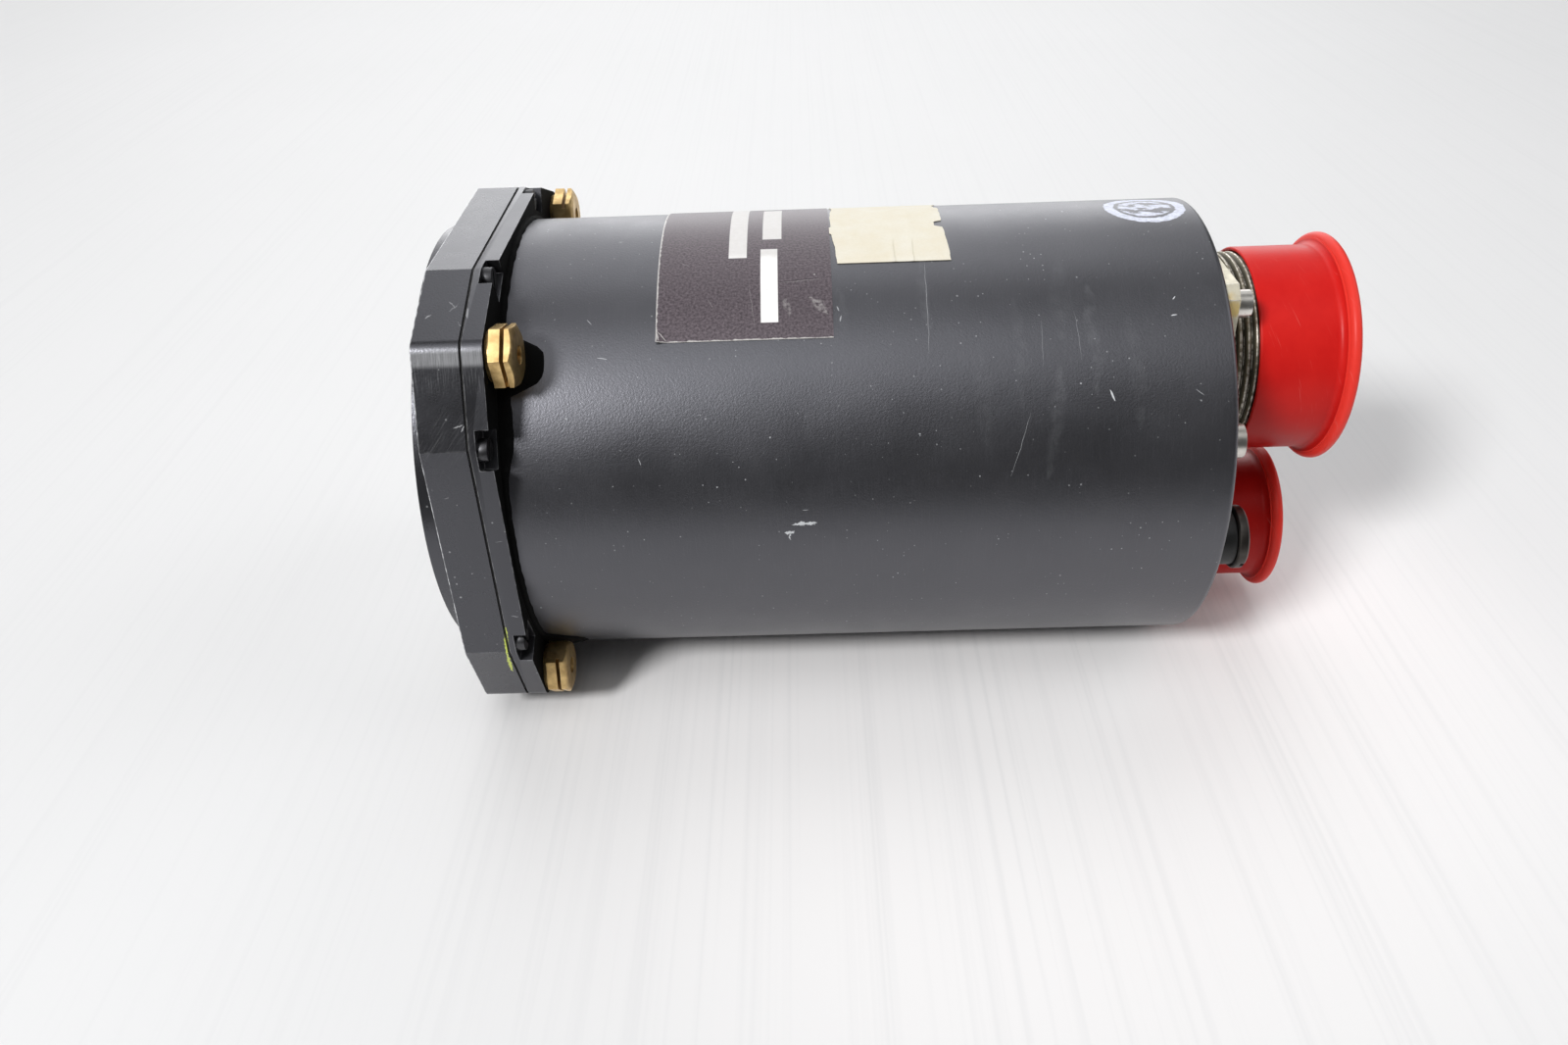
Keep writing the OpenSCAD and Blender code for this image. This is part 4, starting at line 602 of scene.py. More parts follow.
# The first row runs along the lower edge of the dent: a painted highlight.
FOIL_SCRATCHES = [
    ((56.4, 17.55), (63.2, 16.95), 0.05, 0.35), ((51.4, 17.2), (52.3, 26.2), 0.04, 0.30),
    ((36.8, 26.3), (38.1, 27.9), 0.09, 0.90), ((36.5, 26.0), (36.9, 27.8), 0.12, 0.80),
    ((40.3, 12.5), (41.6, 12.9), 0.06, 0.30),
    ((44.8, 20.6), (45.6, 22.4), 0.05, 0.30),
]
nameplate_foil, wiring, shader, place = start_finish("nameplate foil", roughness=0.4, metallic=0.35)
sheet = on_sheet(wiring)
sheet_x, sheet_s = wiring.parts(sheet)[:2]
grain = clouds(wiring, sheet, 0.42, 3.2)
broad = clouds(wiring, sheet, 7.0, 2.2)
color = wiring.blend(grain, (0.044, 0.033, 0.040), (0.150, 0.122, 0.138))
color = wiring.blend(wiring.times(broad, 0.3), color, (0.075, 0.062, 0.070))
fields = 0.0
for x0, x1, s0, s1 in FIELDS:
    field = wiring.times(wiring.band(sheet_x, x0, x1, 0.06), wiring.band(sheet_s, s0, s1, 0.06))
    fields = wiring.most(field, fields)
aged = clouds(wiring, sheet, 1.1, 3.0)
field_color = wiring.blend(wiring.times(aged, 0.4), FIELD_TINT, (0.66, 0.64, 0.60))
rubbed_off = wiring.times(wiring.step(sheet_s, 12.5, 10.0), 0.55)
field_color = wiring.blend(rubbed_off, field_color, (0.50, 0.48, 0.47))
color = wiring.blend(fields, color, field_color)
edge = worn_edge(wiring)
frayed = shaken(wiring, sheet, 0.8, 0.5)
frayed_x, frayed_s = wiring.parts(frayed)[:2]
rim = wiring.most(wiring.step(frayed_s, 27.95, 28.15), wiring.step(frayed_x, 36.72, 36.5))
rim = wiring.most(edge, wiring.times(rim, 0.8))
nick = flecks(wiring, sheet, 2.6, 0.24, 0.4)
scratches = strokes(wiring, shaken(wiring, sheet, 1.0, 0.5), FOIL_SCRATCHES)
# Painted shade: the dent is a dark line along its groove.
color = wiring.blend(strokes(wiring, sheet, DENT_SHADE), color, (0.012, 0.010, 0.012))
wiped = strokes(wiring, shaken(wiring, sheet, 1.5, 1.6), FOIL_WIPES)
clotted = clouds(wiring, sheet, 0.7, 5.0)
scratches = wiring.most(scratches, wiring.times(wiped, clotted, 0.4))
bare = wiring.most(rim, wiring.times(nick, 0.45), scratches)
wiring.fill(shader.inputs["Base Color"], wiring.blend(bare, color, (0.62, 0.6, 0.58)))
wiring.fill(shader.inputs["Roughness"], wiring.between(fields, wiring.between(grain, 0.34, 0.5), 0.62))
wiring.fill(shader.inputs["Metallic"], wiring.between(fields, 0.35, 0.0))
add_bump(wiring, shader, grain, 0.015)

# %% Old paper
CREASES = (75.5, 78.6)
sticker_paper, wiring, shader, place = start_finish("sticker paper", roughness=0.7)
sheet = on_sheet(wiring)
sheet_x, sheet_s = wiring.parts(sheet)[:2]
fibres = clouds(wiring, sheet, 0.5, 2.4)
stain = clouds(wiring, sheet, 5.0, 2.6)
color = wiring.blend(stain, (0.745, 0.715, 0.625), (0.705, 0.645, 0.51))
color = wiring.blend(wiring.times(fibres, 0.3), color, (0.62, 0.58, 0.46))
creases = 0.0
for crease in CREASES:
    bend = wiring.times(wiring.math("SUBTRACT", wiring.noise(sheet, 0.2), 0.5), 0.8)
    off = wiring.math("ABSOLUTE", wiring.math("SUBTRACT", wiring.math("ADD", sheet_x, bend), crease))
    line = wiring.step(off, 0.22, 0.04)
    creases = wiring.most(line, creases)
dirty_edge = worn_edge(wiring)
creases = wiring.times(creases, wiring.step(sheet_s, 6.5, 9.5))
color = wiring.blend(wiring.times(creases, 0.3), color, (0.42, 0.37, 0.26))
color = wiring.blend(wiring.times(dirty_edge, 0.35), color, (0.5, 0.45, 0.33))
wiring.fill(shader.inputs["Base Color"], color)
height = wiring.math("ADD", wiring.times(fibres, 0.3), wiring.times(creases, -1.0))
add_bump(wiring, shader, height, 0.03)

# %% [markdown]
# # The dial's finishes
# Behind the glass everything is painted matt, because a shine would hide the reading. Flat paint still
# has a soft grain, and white numbers yellow with age. Glass is left to the shader: it is clear, with
# the refraction of real glass, and only a faint film of dust shows on it.


# %% Matt instrument paint
def matt_paint(name, tint, aged_tint, roughness=0.65, **constants):
    """Flat paint, rubber or board in two tints; the aged tint comes in patches."""
    material, wiring, shader, place = start_finish(name, **constants)
    cloudy = clouds(wiring, place, 4.0, 2.4)
    fine = clouds(wiring, place, 0.3, 2.0)
    color = wiring.blend(wiring.times(cloudy, 0.6), tint, aged_tint)
    color = wiring.blend(wiring.times(fine, 0.25), color, aged_tint)
    wiring.fill(shader.inputs["Base Color"], color)
    wiring.fill(shader.inputs["Roughness"], wiring.between(fine, roughness - 0.06, roughness + 0.06))
    add_bump(wiring, shader, fine, 0.01)
    return material


dial_black = matt_paint("dial black", (0.018, 0.018, 0.019), (0.030, 0.030, 0.031))
dial_white = matt_paint("dial white", (0.80, 0.79, 0.72), (0.68, 0.65, 0.54))
pointer_yellow = matt_paint("pointer yellow", (0.80, 0.62, 0.08), (0.66, 0.49, 0.07), 0.5)
pointer_green = matt_paint("pointer green", (0.08, 0.42, 0.16), (0.06, 0.32, 0.12), 0.5)
flag_red = matt_paint("flag red", (0.75, 0.09, 0.03), (0.58, 0.07, 0.03), 0.5)
# A near-black matt with almost no shine: painted shadow, used where the case and the flange lie in deep
# shade.
shadow_black = matt_paint("painted shadow black", (0.0012, 0.0012, 0.0012), (0.003, 0.003, 0.003), 0.8,
                     **{"Specular IOR Level": 0.08})
rubber = matt_paint("black rubber", (0.016, 0.016, 0.016), (0.035, 0.034, 0.033), 0.75)
valve_black = matt_paint("black moulding", (0.006, 0.006, 0.006), (0.012, 0.012, 0.012), 0.5)
insert_green = matt_paint("connector insert", (0.035, 0.07, 0.05), (0.02, 0.045, 0.03), 0.5)
laminate = matt_paint("board laminate", (0.05, 0.2, 0.08), (0.03, 0.13, 0.05), 0.35)
iron = matt_paint("varnished iron", (0.12, 0.10, 0.08), (0.07, 0.055, 0.045), 0.4)
wire_cover = matt_paint("wire cover", (0.72, 0.69, 0.6), (0.55, 0.5, 0.4), 0.5)
lamp_frost = matt_paint("frosted lamps", (0.9, 0.86, 0.72), (0.8, 0.74, 0.58), 0.35)

window_glass, wiring, shader, place = start_finish("window glass", roughness=0.0, IOR=1.5, **{
    "Transmission Weight": 1.0, "Specular Tint": (0.22, 0.24, 0.32)})
film = flecks(wiring, place, 3.5, 0.16, 0.5)
wiring.fill(shader.inputs["Base Color"], wiring.blend(film, (0.93, 0.97, 0.96), (0.55, 0.56, 0.55)))
haze = clouds(wiring, place, 12.0, 2.0)
wiring.fill(shader.inputs["Roughness"], wiring.between(film, wiring.between(haze, 0.0, 0.03), 0.5))
print("finishes:", len(bpy.data.materials))

# %% [markdown]
# # Tools for making pieces
# A piece is modelled in a bmesh in millimetres. When it is done, one helper scales it to metres, puts
# it in the scene, smooths it and lets it ride on its body. Smooth shading keeps every edge that turns
# by more than a set angle, and weighted normals keep flat faces flat beside a small bevel.


# %% Finish a piece
def finish_piece(bm, name, body, material, sharp=30):
    """Makes a bmesh in millimetres a scene object that rides on a body; returns the object."""
    bmesh.ops.dissolve_degenerate(bm, dist=0.0005, edges=bm.edges)
    bmesh.ops.scale(bm, vec=(MM,) * 3, verts=bm.verts)
    for face in bm.faces:
        face.smooth = True
    for rim in bm.edges:
        if len(rim.link_faces) == 2 and rim.calc_face_angle() > math.radians(sharp):
            rim.smooth = False
    mesh = bpy.data.meshes.new(name)
    bm.to_mesh(mesh)
    bm.free()
    piece = bpy.data.objects.new(name, mesh)
    bpy.context.scene.collection.objects.link(piece)
    piece.data.materials.append(material)
    even = piece.modifiers.new("even shading", "WEIGHTED_NORMAL")
    even.keep_sharp = True
    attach(piece, body)
    return piece


def mark_edges(bm, faces):
    """Marks narrow faces in the face attribute that the worn finishes read."""
    layer = bm.faces.layers.float.get("edge") or bm.faces.layers.float.new("edge")
    for face in faces:
        face[layer] = 1.0


def soften(bm, width, corner=30, segments=2, chosen=None, clamp=True):
    """Bevels the edges that turn by more than corner degrees, and marks the new faces as edges.

    With clamp, the shortest edge of the piece limits the width of them all.
    """
    if bm.faces.layers.float.get("edge") is None:
        bm.faces.layers.float.new("edge")
    rims = [rim for rim in bm.edges if len(rim.link_faces) == 2
            and rim.calc_face_angle() > math.radians(corner) and (chosen is None or chosen(rim))]
    made = bmesh.ops.bevel(bm, geom=rims, offset=width, affect="EDGES", segments=segments, profile=0.5,
                           material=-1, clamp_overlap=clamp)
    mark_edges(bm, made["faces"])
    return len(rims)


def from_node(node):
    """A bmesh copy of a CAD node in millimetres, with its loose triangles joined into clean faces."""
    bm = bmesh.new()
    bm.from_mesh(nodes[node].data)
    bmesh.ops.scale(bm, vec=(1 / MM,) * 3, verts=bm.verts)
    bmesh.ops.remove_doubles(bm, verts=bm.verts, dist=0.002)
    bmesh.ops.dissolve_limit(bm, angle_limit=math.radians(0.5), verts=bm.verts, edges=bm.edges)
    return bm


def dressed_copy(node, material, width):
    """Replaces a CAD node by a copy with smooth round faces, and with softened edges if width isn't 0."""
    bm = from_node(node)
    count = soften(bm, width) if width else 0
    piece = finish_piece(bm, node + "_skin", body_of[node], material)
    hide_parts(node)
    print(f"{piece.name}: {len(piece.data.polygons)} faces, {count} edges softened")


def turned(profile, center, steps):
    """Spins a profile of (x, radius) points about an axis that runs along X through center."""
    bm = bmesh.new()
    rail = [bm.verts.new((x, center[0], center[1] + radius)) for x, radius in profile]
    rims = [bm.edges.new(pair) for pair in zip(rail, rail[1:])]
    bmesh.ops.spin(bm, geom=rail + rims, cent=(0, center[0], center[1]), axis=(1, 0, 0),
                   angle=math.tau, steps=steps, use_merge=True)
    bmesh.ops.remove_doubles(bm, verts=bm.verts, dist=0.001)
    bmesh.ops.recalc_face_normals(bm, faces=bm.faces)
    bm.faces.layers.float.new("edge")
    return bm


# %% [markdown]
# # The body: bezel, flange, case and fasteners
# These pieces already have their real shape in the imported model, but a CAD edge is perfectly sharp and
# catches no light. A copy of each, apart from the case, gets a small bevel, which is what makes machined
# and cast parts look real. The folds between the bezel's sides are rounder than its other edges, so they go
# first.

# %% Dress the bezel and the flange
MOUNTING_CIRCLE = 88.9
OUTLINE_R, HOLE_ZONE_R = 41.0, 4.0
FOLD_WIDTH, RIM_WIDTH = 1.1, 0.22
FOLD_WEAR, RIM_WEAR = 0.2, 2.5
NOSE_END, NOSE_BAND, NOSE_KEPT = -1.9, 1.02, 0.2
hole_at = MOUNTING_CIRCLE / 2 / math.sqrt(2)
bm = from_node("bezel")


def is_fold(rim):
    """An outer edge of the bezel that runs along the axis, between two of its sides."""
    run = rim.verts[1].co - rim.verts[0].co
    middle = (rim.verts[0].co + rim.verts[1].co) / 2
    return abs(run.x) > 0.9 * run.length and run.length > 5 and middle.yz.length > OUTLINE_R


def on_front_rim(rim):
    """An edge of the outline of the bezel's front face, and not of its four holes."""
    return all(abs(vert.co.x) < 0.01 and vert.co.yz.length > OUTLINE_R
               and math.hypot(abs(vert.co.y) - hole_at, abs(vert.co.z) - hole_at) > HOLE_ZONE_R
               for vert in rim.verts)


folds = soften(bm, FOLD_WIDTH, corner=8, segments=5, chosen=is_fold)
wear = bm.faces.layers.float.get("edge")
for face in bm.faces:
    face[wear] *= FOLD_WEAR
front_rims = soften(bm, RIM_WIDTH, corner=32, chosen=on_front_rim, clamp=False)
for face in bm.faces:
    if face[wear] > 0.5:
        face[wear] = RIM_WEAR

# The nose ends in a crisp edge, so its rounding is squeezed to a share of what it was.
nose = [vert for vert in bm.verts if vert.co.x < NOSE_END]
nose_x, nose_r = box_mm("bezel")[0].x, max(vert.co.yz.length for vert in nose)
for vert in nose:
    radius = vert.co.yz.length
    if radius > nose_r - NOSE_BAND:
        wider = (nose_r - (nose_r - radius) * NOSE_KEPT) / radius
        vert.co = (nose_x + (vert.co.x - nose_x) * NOSE_KEPT, vert.co.y * wider, vert.co.z * wider)
bezel = finish_piece(bm, "bezel_skin", body_of["bezel"], bezel_enamel)
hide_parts("bezel")
print("bezel:", folds, "folds,", front_rims, "front edges,", len(bezel.data.polygons), "faces")

# %% [markdown]
# # Painted shadow behind the flange
# A near-black band on the case, just behind the flange, is painted shadow: the deep shade in the joint
# between the flange and the case, and the shadows that the nuts cast beside them. It is a ring spun from
# a small profile, and how far it reaches along the case then changes with the turn. The back of the
# flange, which lies in shade, gets a thin near-black film of its own, also painted shadow.

# %% Paint the shadow behind the flange
SHADOW_BAND_X = 11.22
SHADOW_BAND_PROFILE = [(SHADOW_BAND_X, 40.35), (11.75, 40.3), (12.05, 40.05), (12.2, CASE_R + 0.03), (12.2, CASE_R - 0.3),
        (SHADOW_BAND_X, CASE_R - 0.3), (SHADOW_BAND_X, 40.35)]
NUT_TURNS, NUT_ARC, NEAR_REACH, FAR_REACH = (45, 135, 225, 315), 6.6, 6.6, 3.5
BLOB_TURN, BLOB_ARC, BLOB_REACH = 300, 9.0, 1.4
SHADOW_FILM = 0.04
# Painted shadow: a near-black ring on the case where the flange shades it, reaching further beside each nut.
bm = turned(SHADOW_BAND_PROFILE, (0.0, 0.0), steps=240)
for vert in bm.verts:
    turn = math.degrees(math.atan2(vert.co.y, vert.co.z)) % 360
    at_nut = sum(math.exp(-(((turn - nut) / NUT_ARC) ** 4)) for nut in NUT_TURNS)
    at_blob = math.exp(-(((turn - BLOB_TURN) / BLOB_ARC) ** 4))
    spread = max((NEAR_REACH if turn > 180 else FAR_REACH) * at_nut, BLOB_REACH * at_blob)
    reach = 0.9 + spread + 0.25 * noise.noise(Vector((turn * 0.35, 0, 3)))
    vert.co.x = SHADOW_BAND_X + (vert.co.x - SHADOW_BAND_X) * reach
shadow_band = finish_piece(bm, "case_shadow_band", "housing", shadow_black)

# Painted shadow: a thin near-black film on the back of the flange, which lies in shade.
bm = from_node("mounting_flange")
backs = [face for face in bm.faces if face.normal.x > 0.99 and 11 < face.calc_center_median().x < 12]
bmesh.ops.delete(bm, geom=[face for face in bm.faces if face not in backs], context="FACES")
raised = bmesh.ops.extrude_face_region(bm, geom=list(bm.faces))
lifted = [part for part in raised["geom"] if isinstance(part, bmesh.types.BMVert)]
bmesh.ops.translate(bm, vec=(SHADOW_FILM, 0, 0), verts=lifted)
bmesh.ops.recalc_face_normals(bm, faces=bm.faces)
back_shadow = finish_piece(bm, "flange_back_shadow", "housing", shadow_black)
print("seal:", len(shadow_band.data.polygons), "faces, flange back:", len(back_shadow.data.polygons), "faces")

# %% Dress the case and the fasteners
SOFTENED = [
    ("mounting_flange", flange_enamel, 0.2), ("case_can", case_enamel, 0.0),
    ("mounting_nuts", nut_brass, 0.12), ("bezel_screws", black_screw, 0.1),
    ("rear_screws", nickel, 0.12), ("main_connector_screws", nickel, 0.12),
    ("main_connector_shell", main_chromate, 0.15), ("small_connector_shell", small_chromate, 0.12),
    ("small_connector_nut", small_chromate, 0.15), ("purge_valve_body", valve_black, 0.15),
    ("purge_valve_cap", grey_metal, 0.15),
]
for node, finish, width in SOFTENED:
    dressed_copy(node, finish, width)

# %% [markdown]
# # Labels wrapped on the case
# A label is a thin sheet that was cut flat and then wrapped. We build it the same way: a grid is cut to
# its outline on the unrolled sheet, bent round the case, and given its thickness. The outline of the
# paper is torn, so both its ends follow a ragged line, and the corner of the foil has lifted.


# %% A helper that wraps a sheet
def outward(point):
    """The direction from the case's axis to a point."""
    return Vector((0, *point.yz)).normalized()


def wrapped(name, node, material, left, right, low, high, columns, rows, thickness, lift):
    """A sheet between left(s) and right(s) along the axis and from low to high round the case.

    lift(x, s) is how far the sheet stands off the case, in millimetres.
    """
    bm = bmesh.new()
    bmesh.ops.create_grid(bm, x_segments=columns, y_segments=rows, size=0.5)
    bmesh.ops.recalc_face_normals(bm, faces=bm.faces)
    for vert in bm.verts:
        s = low + (vert.co.y + 0.5) * (high - low)
        x = left(s) + (vert.co.x + 0.5) * (right(s) - left(s))
        r = CASE_R + lift(x, s)
        vert.co = (x, -r * math.sin(s / CASE_R), r * math.cos(s / CASE_R))
    if sum(face.normal.dot(outward(face.calc_center_median())) for face in bm.faces) < 0:
        bmesh.ops.reverse_faces(bm, faces=bm.faces)
    raised = bmesh.ops.extrude_face_region(bm, geom=list(bm.faces))
    for vert in [part for part in raised["geom"] if isinstance(part, bmesh.types.BMVert)]:
        vert.co += outward(vert.co) * thickness
    bmesh.ops.recalc_face_normals(bm, faces=bm.faces)
    bm.faces.layers.float.new("edge")
    rim = [face for face in bm.faces if abs(face.normal.dot(outward(face.calc_center_median()))) < 0.5]
    mark_edges(bm, rim)
    piece = finish_piece(bm, name, body_of[node], material, sharp=50)
    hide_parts(node)
    print(name, ":", len(piece.data.polygons), "faces,", len(rim), "on the rim")


def ragged(s, seed, depth):
    """A torn edge: how far it wanders at a place s, in millimetres."""
    return depth * (noise.noise((s * 0.5, seed, 0.0)) + 0.5 * noise.noise((s * 1.7, seed, 5.0)))


# %% The nameplate
plate_low, plate_high = box_mm("nameplate")
PLATE_FROM, PLATE_TO = -28.2, 28.2
CURL_REACH, CURL_LIFT = 2.2, 0.55


def plate_lift(x, s):
    """Flat on the case, apart from the curled corner at the low end of its front edge."""
    corner = Vector((x - plate_low.x, PLATE_TO - s)).length
    return 0.02 + CURL_LIFT * max(0.0, 1 - corner / CURL_REACH) ** 2


wrapped("nameplate_foil", "nameplate", nameplate_foil, lambda s: plate_low.x, lambda s: plate_high.x,
        PLATE_FROM, PLATE_TO, 40, 72, 0.14, plate_lift)

# %% The sticker
PAPER_FROM, PAPER_TO = -18.0, 13.5
LEFT_EDGE = [(-18.0, 65.3), (-9.0, 65.6), (-2.0, 65.1), (2.4, 65.2), (2.8, 64.4), (4.5, 64.4), (4.9, 65.2),
             (9.5, 65.7), (13.5, 66.0)]
RIGHT_EDGE = [(-18.0, 84.4), (-11.0, 84.2), (-10.2, 83.6), (-7.4, 83.7), (-7.0, 84.3), (0.9, 84.2),
              (1.4, 82.9), (3.1, 82.7), (3.7, 84.1), (6.0, 84.3), (13.5, 84.7)]


def edge_at(edge, s):
    """Where a given edge, a row of (s, x), runs at a place s."""
    for (s0, x0), (s1, x1) in zip(edge, edge[1:]):
        if s <= s1:
            break
    return x0 + (x1 - x0) * min(max((s - s0) / (s1 - s0), 0.0), 1.0) + ragged(s, x0, 0.12)


def paper_lift(x, s):
    """Lies on the case, and stands up a little along its creases."""
    folds = sum(max(0.0, 1 - abs(x - crease) / 0.7) for crease in CREASES)
    return 0.03 + 0.05 * folds + 0.03 * abs(noise.noise((x * 0.3, s * 0.3, 2.0)))


wrapped("sticker_sheet", "inspection_sticker", sticker_paper, lambda s: edge_at(LEFT_EDGE, s),
        lambda s: edge_at(RIGHT_EDGE, s), PAPER_FROM, PAPER_TO, 40, 160, 0.1, paper_lift)

# %% [markdown]
# # The red caps
# A moulded cap has no sharp corner anywhere: its rim is rolled, the wall meets the flare in a soft
# curve, and the closed end is dished. So each cap is turned anew from a smooth profile that follows the
# packed one, with the mouth of its wall left open to slip over the thread.


# %% Turn a cap
RIM_STANDS_OUT, WALL, BEAD, END_THICKNESS = 2.17, 0.75, 1.0, 2.6


def cap_profile(start, end, wall_r, rim_r, wall=WALL, bead=BEAD):
    """Points (x, radius) round the outside from the open end, over the rolled rim and back inside."""
    mouth = end - END_THICKNESS
    lip = wall * 0.45
    flare = rim_r - bead - wall_r
    points = [(start + lip, wall_r - wall), (start + lip * 0.3, wall_r - wall + lip * 0.3),
              (start, wall_r - wall + lip), (start, wall_r - lip), (start + lip * 0.3, wall_r - lip * 0.3),
              (start + lip, wall_r)]
    bead_x = end - bead
    for k in range(9):
        a = math.radians(90 * k / 8)
        points.append((bead_x - bead - flare * (1 - math.sin(a)) - 0.2, wall_r + flare * (1 - math.cos(a))))
    for k in range(11):
        a = math.radians(-90 + 18 * k)
        points.append((bead_x + bead * math.sin(a), rim_r - bead + bead * math.cos(a)))
    dish_r = wall_r - 2 * wall
    for k in range(7):
        a = math.radians(90 * k / 6)
        points.append((end - bead * (1 - math.cos(a)) * 0.9 - 0.02, dish_r + (rim_r - bead - dish_r) * 0.5 *
                       (1 - math.sin(a))))
    points += [(end - bead * 0.92, 0.0), (mouth, 0.0), (mouth, wall_r - wall - 0.6),
               (mouth - 0.6, wall_r - wall)]
    return points


def red_cap(node):
    """Replaces a cap by one turned to the same box, and marks its rolled rim as an edge."""
    low, high = box_mm(node)
    center = ((low.y + high.y) / 2, (low.z + high.z) / 2)
    rim_r = (high.z - low.z) / 2
    wall_r = rim_r - RIM_STANDS_OUT
    bm = turned(cap_profile(low.x, high.x, wall_r, rim_r), center, steps=128)
    rim = []
    for face in bm.faces:
        middle = face.calc_center_median()
        if middle.x > low.x + 8 and (middle.yz - Vector(center)).length > wall_r + 0.9:
            rim.append(face)
    mark_edges(bm, rim)
    piece = finish_piece(bm, node + "_moulded", body_of[node], cap_red, sharp=50)
    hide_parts(node)
    print(piece.name, "rim radius", round(rim_r, 2), "from", round(low.x, 2), "to", round(high.x, 2))


red_cap("main_connector_cap")
red_cap("small_connector_cap")

# %% [markdown]
# # The dial
# The compass card turns behind a fixed mask. Its scale is a ring of ticks every five degrees, longer
# every ten, with plain numbers in tens of degrees and the four letters of the compass. Printed marks
# could be painted by a node pattern, but real meshes stay crisp at any distance, so each mark is a thin
# solid of ink that rides on the card.

# %% Marks on the compass card
card_front = box_mm("compass_card")[0].x
INK = 0.04
SCALE_R = 29.4
TICKS = {10: (3.0, 0.5), 5: (1.8, 0.32)}
NUMBER_R, NUMBER_SIZE = 23.2, 4.2
LETTERS = {0: "N", 90: "E", 180: "S", 270: "W"}


def add_bar(bm, radius, length, width, degrees, front):
    """Adds a thin radial bar whose outer end is at a radius, turned clockwise from the top."""
    made = bmesh.ops.create_cube(bm, size=1.0)["verts"]
    bmesh.ops.scale(bm, vec=(INK, width, length), verts=made)
    bmesh.ops.translate(bm, vec=(front - INK / 2, 0, radius - length / 2), verts=made)
    turn = Matrix.Rotation(math.radians(degrees), 3, "X")
    bmesh.ops.rotate(bm, cent=(0, 0, 0), matrix=turn, verts=made)


def add_text(bm, text, size, radius, degrees, front):
    """Adds raised figures that read upright from the front, turned clockwise from the top."""
    curve = bpy.data.curves.new("figures", "FONT")
    curve.body = text
    curve.size = size
    curve.align_x = "CENTER"
    curve.align_y = "CENTER"
    curve.extrude = INK / 2
    curve.resolution_u = 3
    holder = bpy.data.objects.new("figures", curve)
    mesh = bpy.data.meshes.new_from_object(holder)
    count = len(bm.verts)
    bm.from_mesh(mesh)
    bm.verts.ensure_lookup_table()
    made = bm.verts[count:]
    facing = Matrix(((0, 0, -1), (-1, 0, 0), (0, 1, 0)))
    bmesh.ops.rotate(bm, cent=(0, 0, 0), matrix=facing, verts=made)
    bmesh.ops.translate(bm, vec=(front - INK / 2, 0, radius), verts=made)
    bmesh.ops.rotate(bm, cent=(0, 0, 0), matrix=Matrix.Rotation(math.radians(degrees), 3, "X"), verts=made)
    bpy.data.objects.remove(holder)
    bpy.data.curves.remove(curve)
    bpy.data.meshes.remove(mesh)


bm = bmesh.new()
for degrees in range(0, 360, 5):
    length, width = TICKS[10 if degrees % 10 == 0 else 5]
    add_bar(bm, SCALE_R, length, width, degrees, card_front)
for degrees in range(0, 360, 30):
    text = LETTERS.get(degrees, str(degrees // 10))
    add_text(bm, text, NUMBER_SIZE * (1.15 if degrees in LETTERS else 1.0), NUMBER_R, degrees, card_front)
card_marks = finish_piece(bm, "card_marks", body_of["compass_card"], dial_white)
print("card marks:", len(card_marks.data.polygons), "faces")

# %% Marks on the fixed mask
mask_front = box_mm("dial_mask")[0].x
MASK_MARK_R, MASK_MARK_LENGTH = 33.0, 2.2
bm = bmesh.new()
for degrees in range(45, 360, 45):
    width = 0.9 if degrees % 90 == 0 else 0.6
    add_bar(bm, MASK_MARK_R, MASK_MARK_LENGTH, width, degrees, mask_front)
finish_piece(bm, "mask_marks", body_of["dial_mask"], dial_white)
print("mask front at", round(mask_front, 2), "card front at", round(card_front, 2))

# %% [markdown]
# # Finishes for the pieces that keep their CAD shape
# Most inner pieces are right as packed: plates, posts, gears, boards. They only need their material, so
# one table gives each of them its finish, and a line at the end shows that no node was forgotten.

# %% Dress the remaining nodes
FINISHES = [
    (rubber, "bezel_gasket glass_gasket"),
    (window_glass, "cover_glass"),
    (lamp_frost, "dial_lamps"),
    (dial_black, "dial_mask compass_card"),
    (dial_white, "lubber_index"),
    (pointer_yellow, "single_bar_pointer"),
    (pointer_green, "double_bar_pointer"),
    (flag_red, "warning_flag"),
    (dark_steel, "glass_retaining_ring flag_meter plate_screws synchro_screws"),
    (ground_steel, "card_bearings pointer_one_shaft pointer_two_shaft pointer_bearings"),
    (ground_steel, "pointer_one_synchro pointer_two_synchro card_synchro servo_motor"),
    (gear_brass, "card_gear synchro_two_gear card_synchro_gear idler_gear motor_pinion"),
    (bronze, "gear_bushings"),
    (aluminium, "front_plate middle_plate rear_plate front_posts rear_posts board_spacers"),
    (laminate, "amplifier_board power_board"),
    (tin_cans, "board_components"),
    (iron, "transformer"),
    (wire_cover, "wiring_harness"),
    (insert_green, "main_connector_insert small_connector_insert"),
    (gold_pins, "main_connector_pins small_connector_pins"),
]
dressed = set()
for finish, names in FINISHES:
    for node in names.split():
        nodes[node].data.materials.clear()
        nodes[node].data.materials.append(finish)
        dressed.add(node)
print("dressed:", len(dressed), " replaced by new pieces:", sorted(set(nodes) - dressed))

# %% [markdown]
# # Table and light
# The instrument lies on a wide pale table under soft light. A large plane is the table, tilted a
# little because the bezel is wider than the case, and painted paler close to the instrument: painted
# light that lifts the instrument's shadow there. One lamp at the left makes the shadows, and a pale sky
# of uneven brightness fills them: it is darker in front, where the photographer stood, and that dark
# band is what draws the shape of the black case. The levels are low enough that a colour renders about
# as it is written.

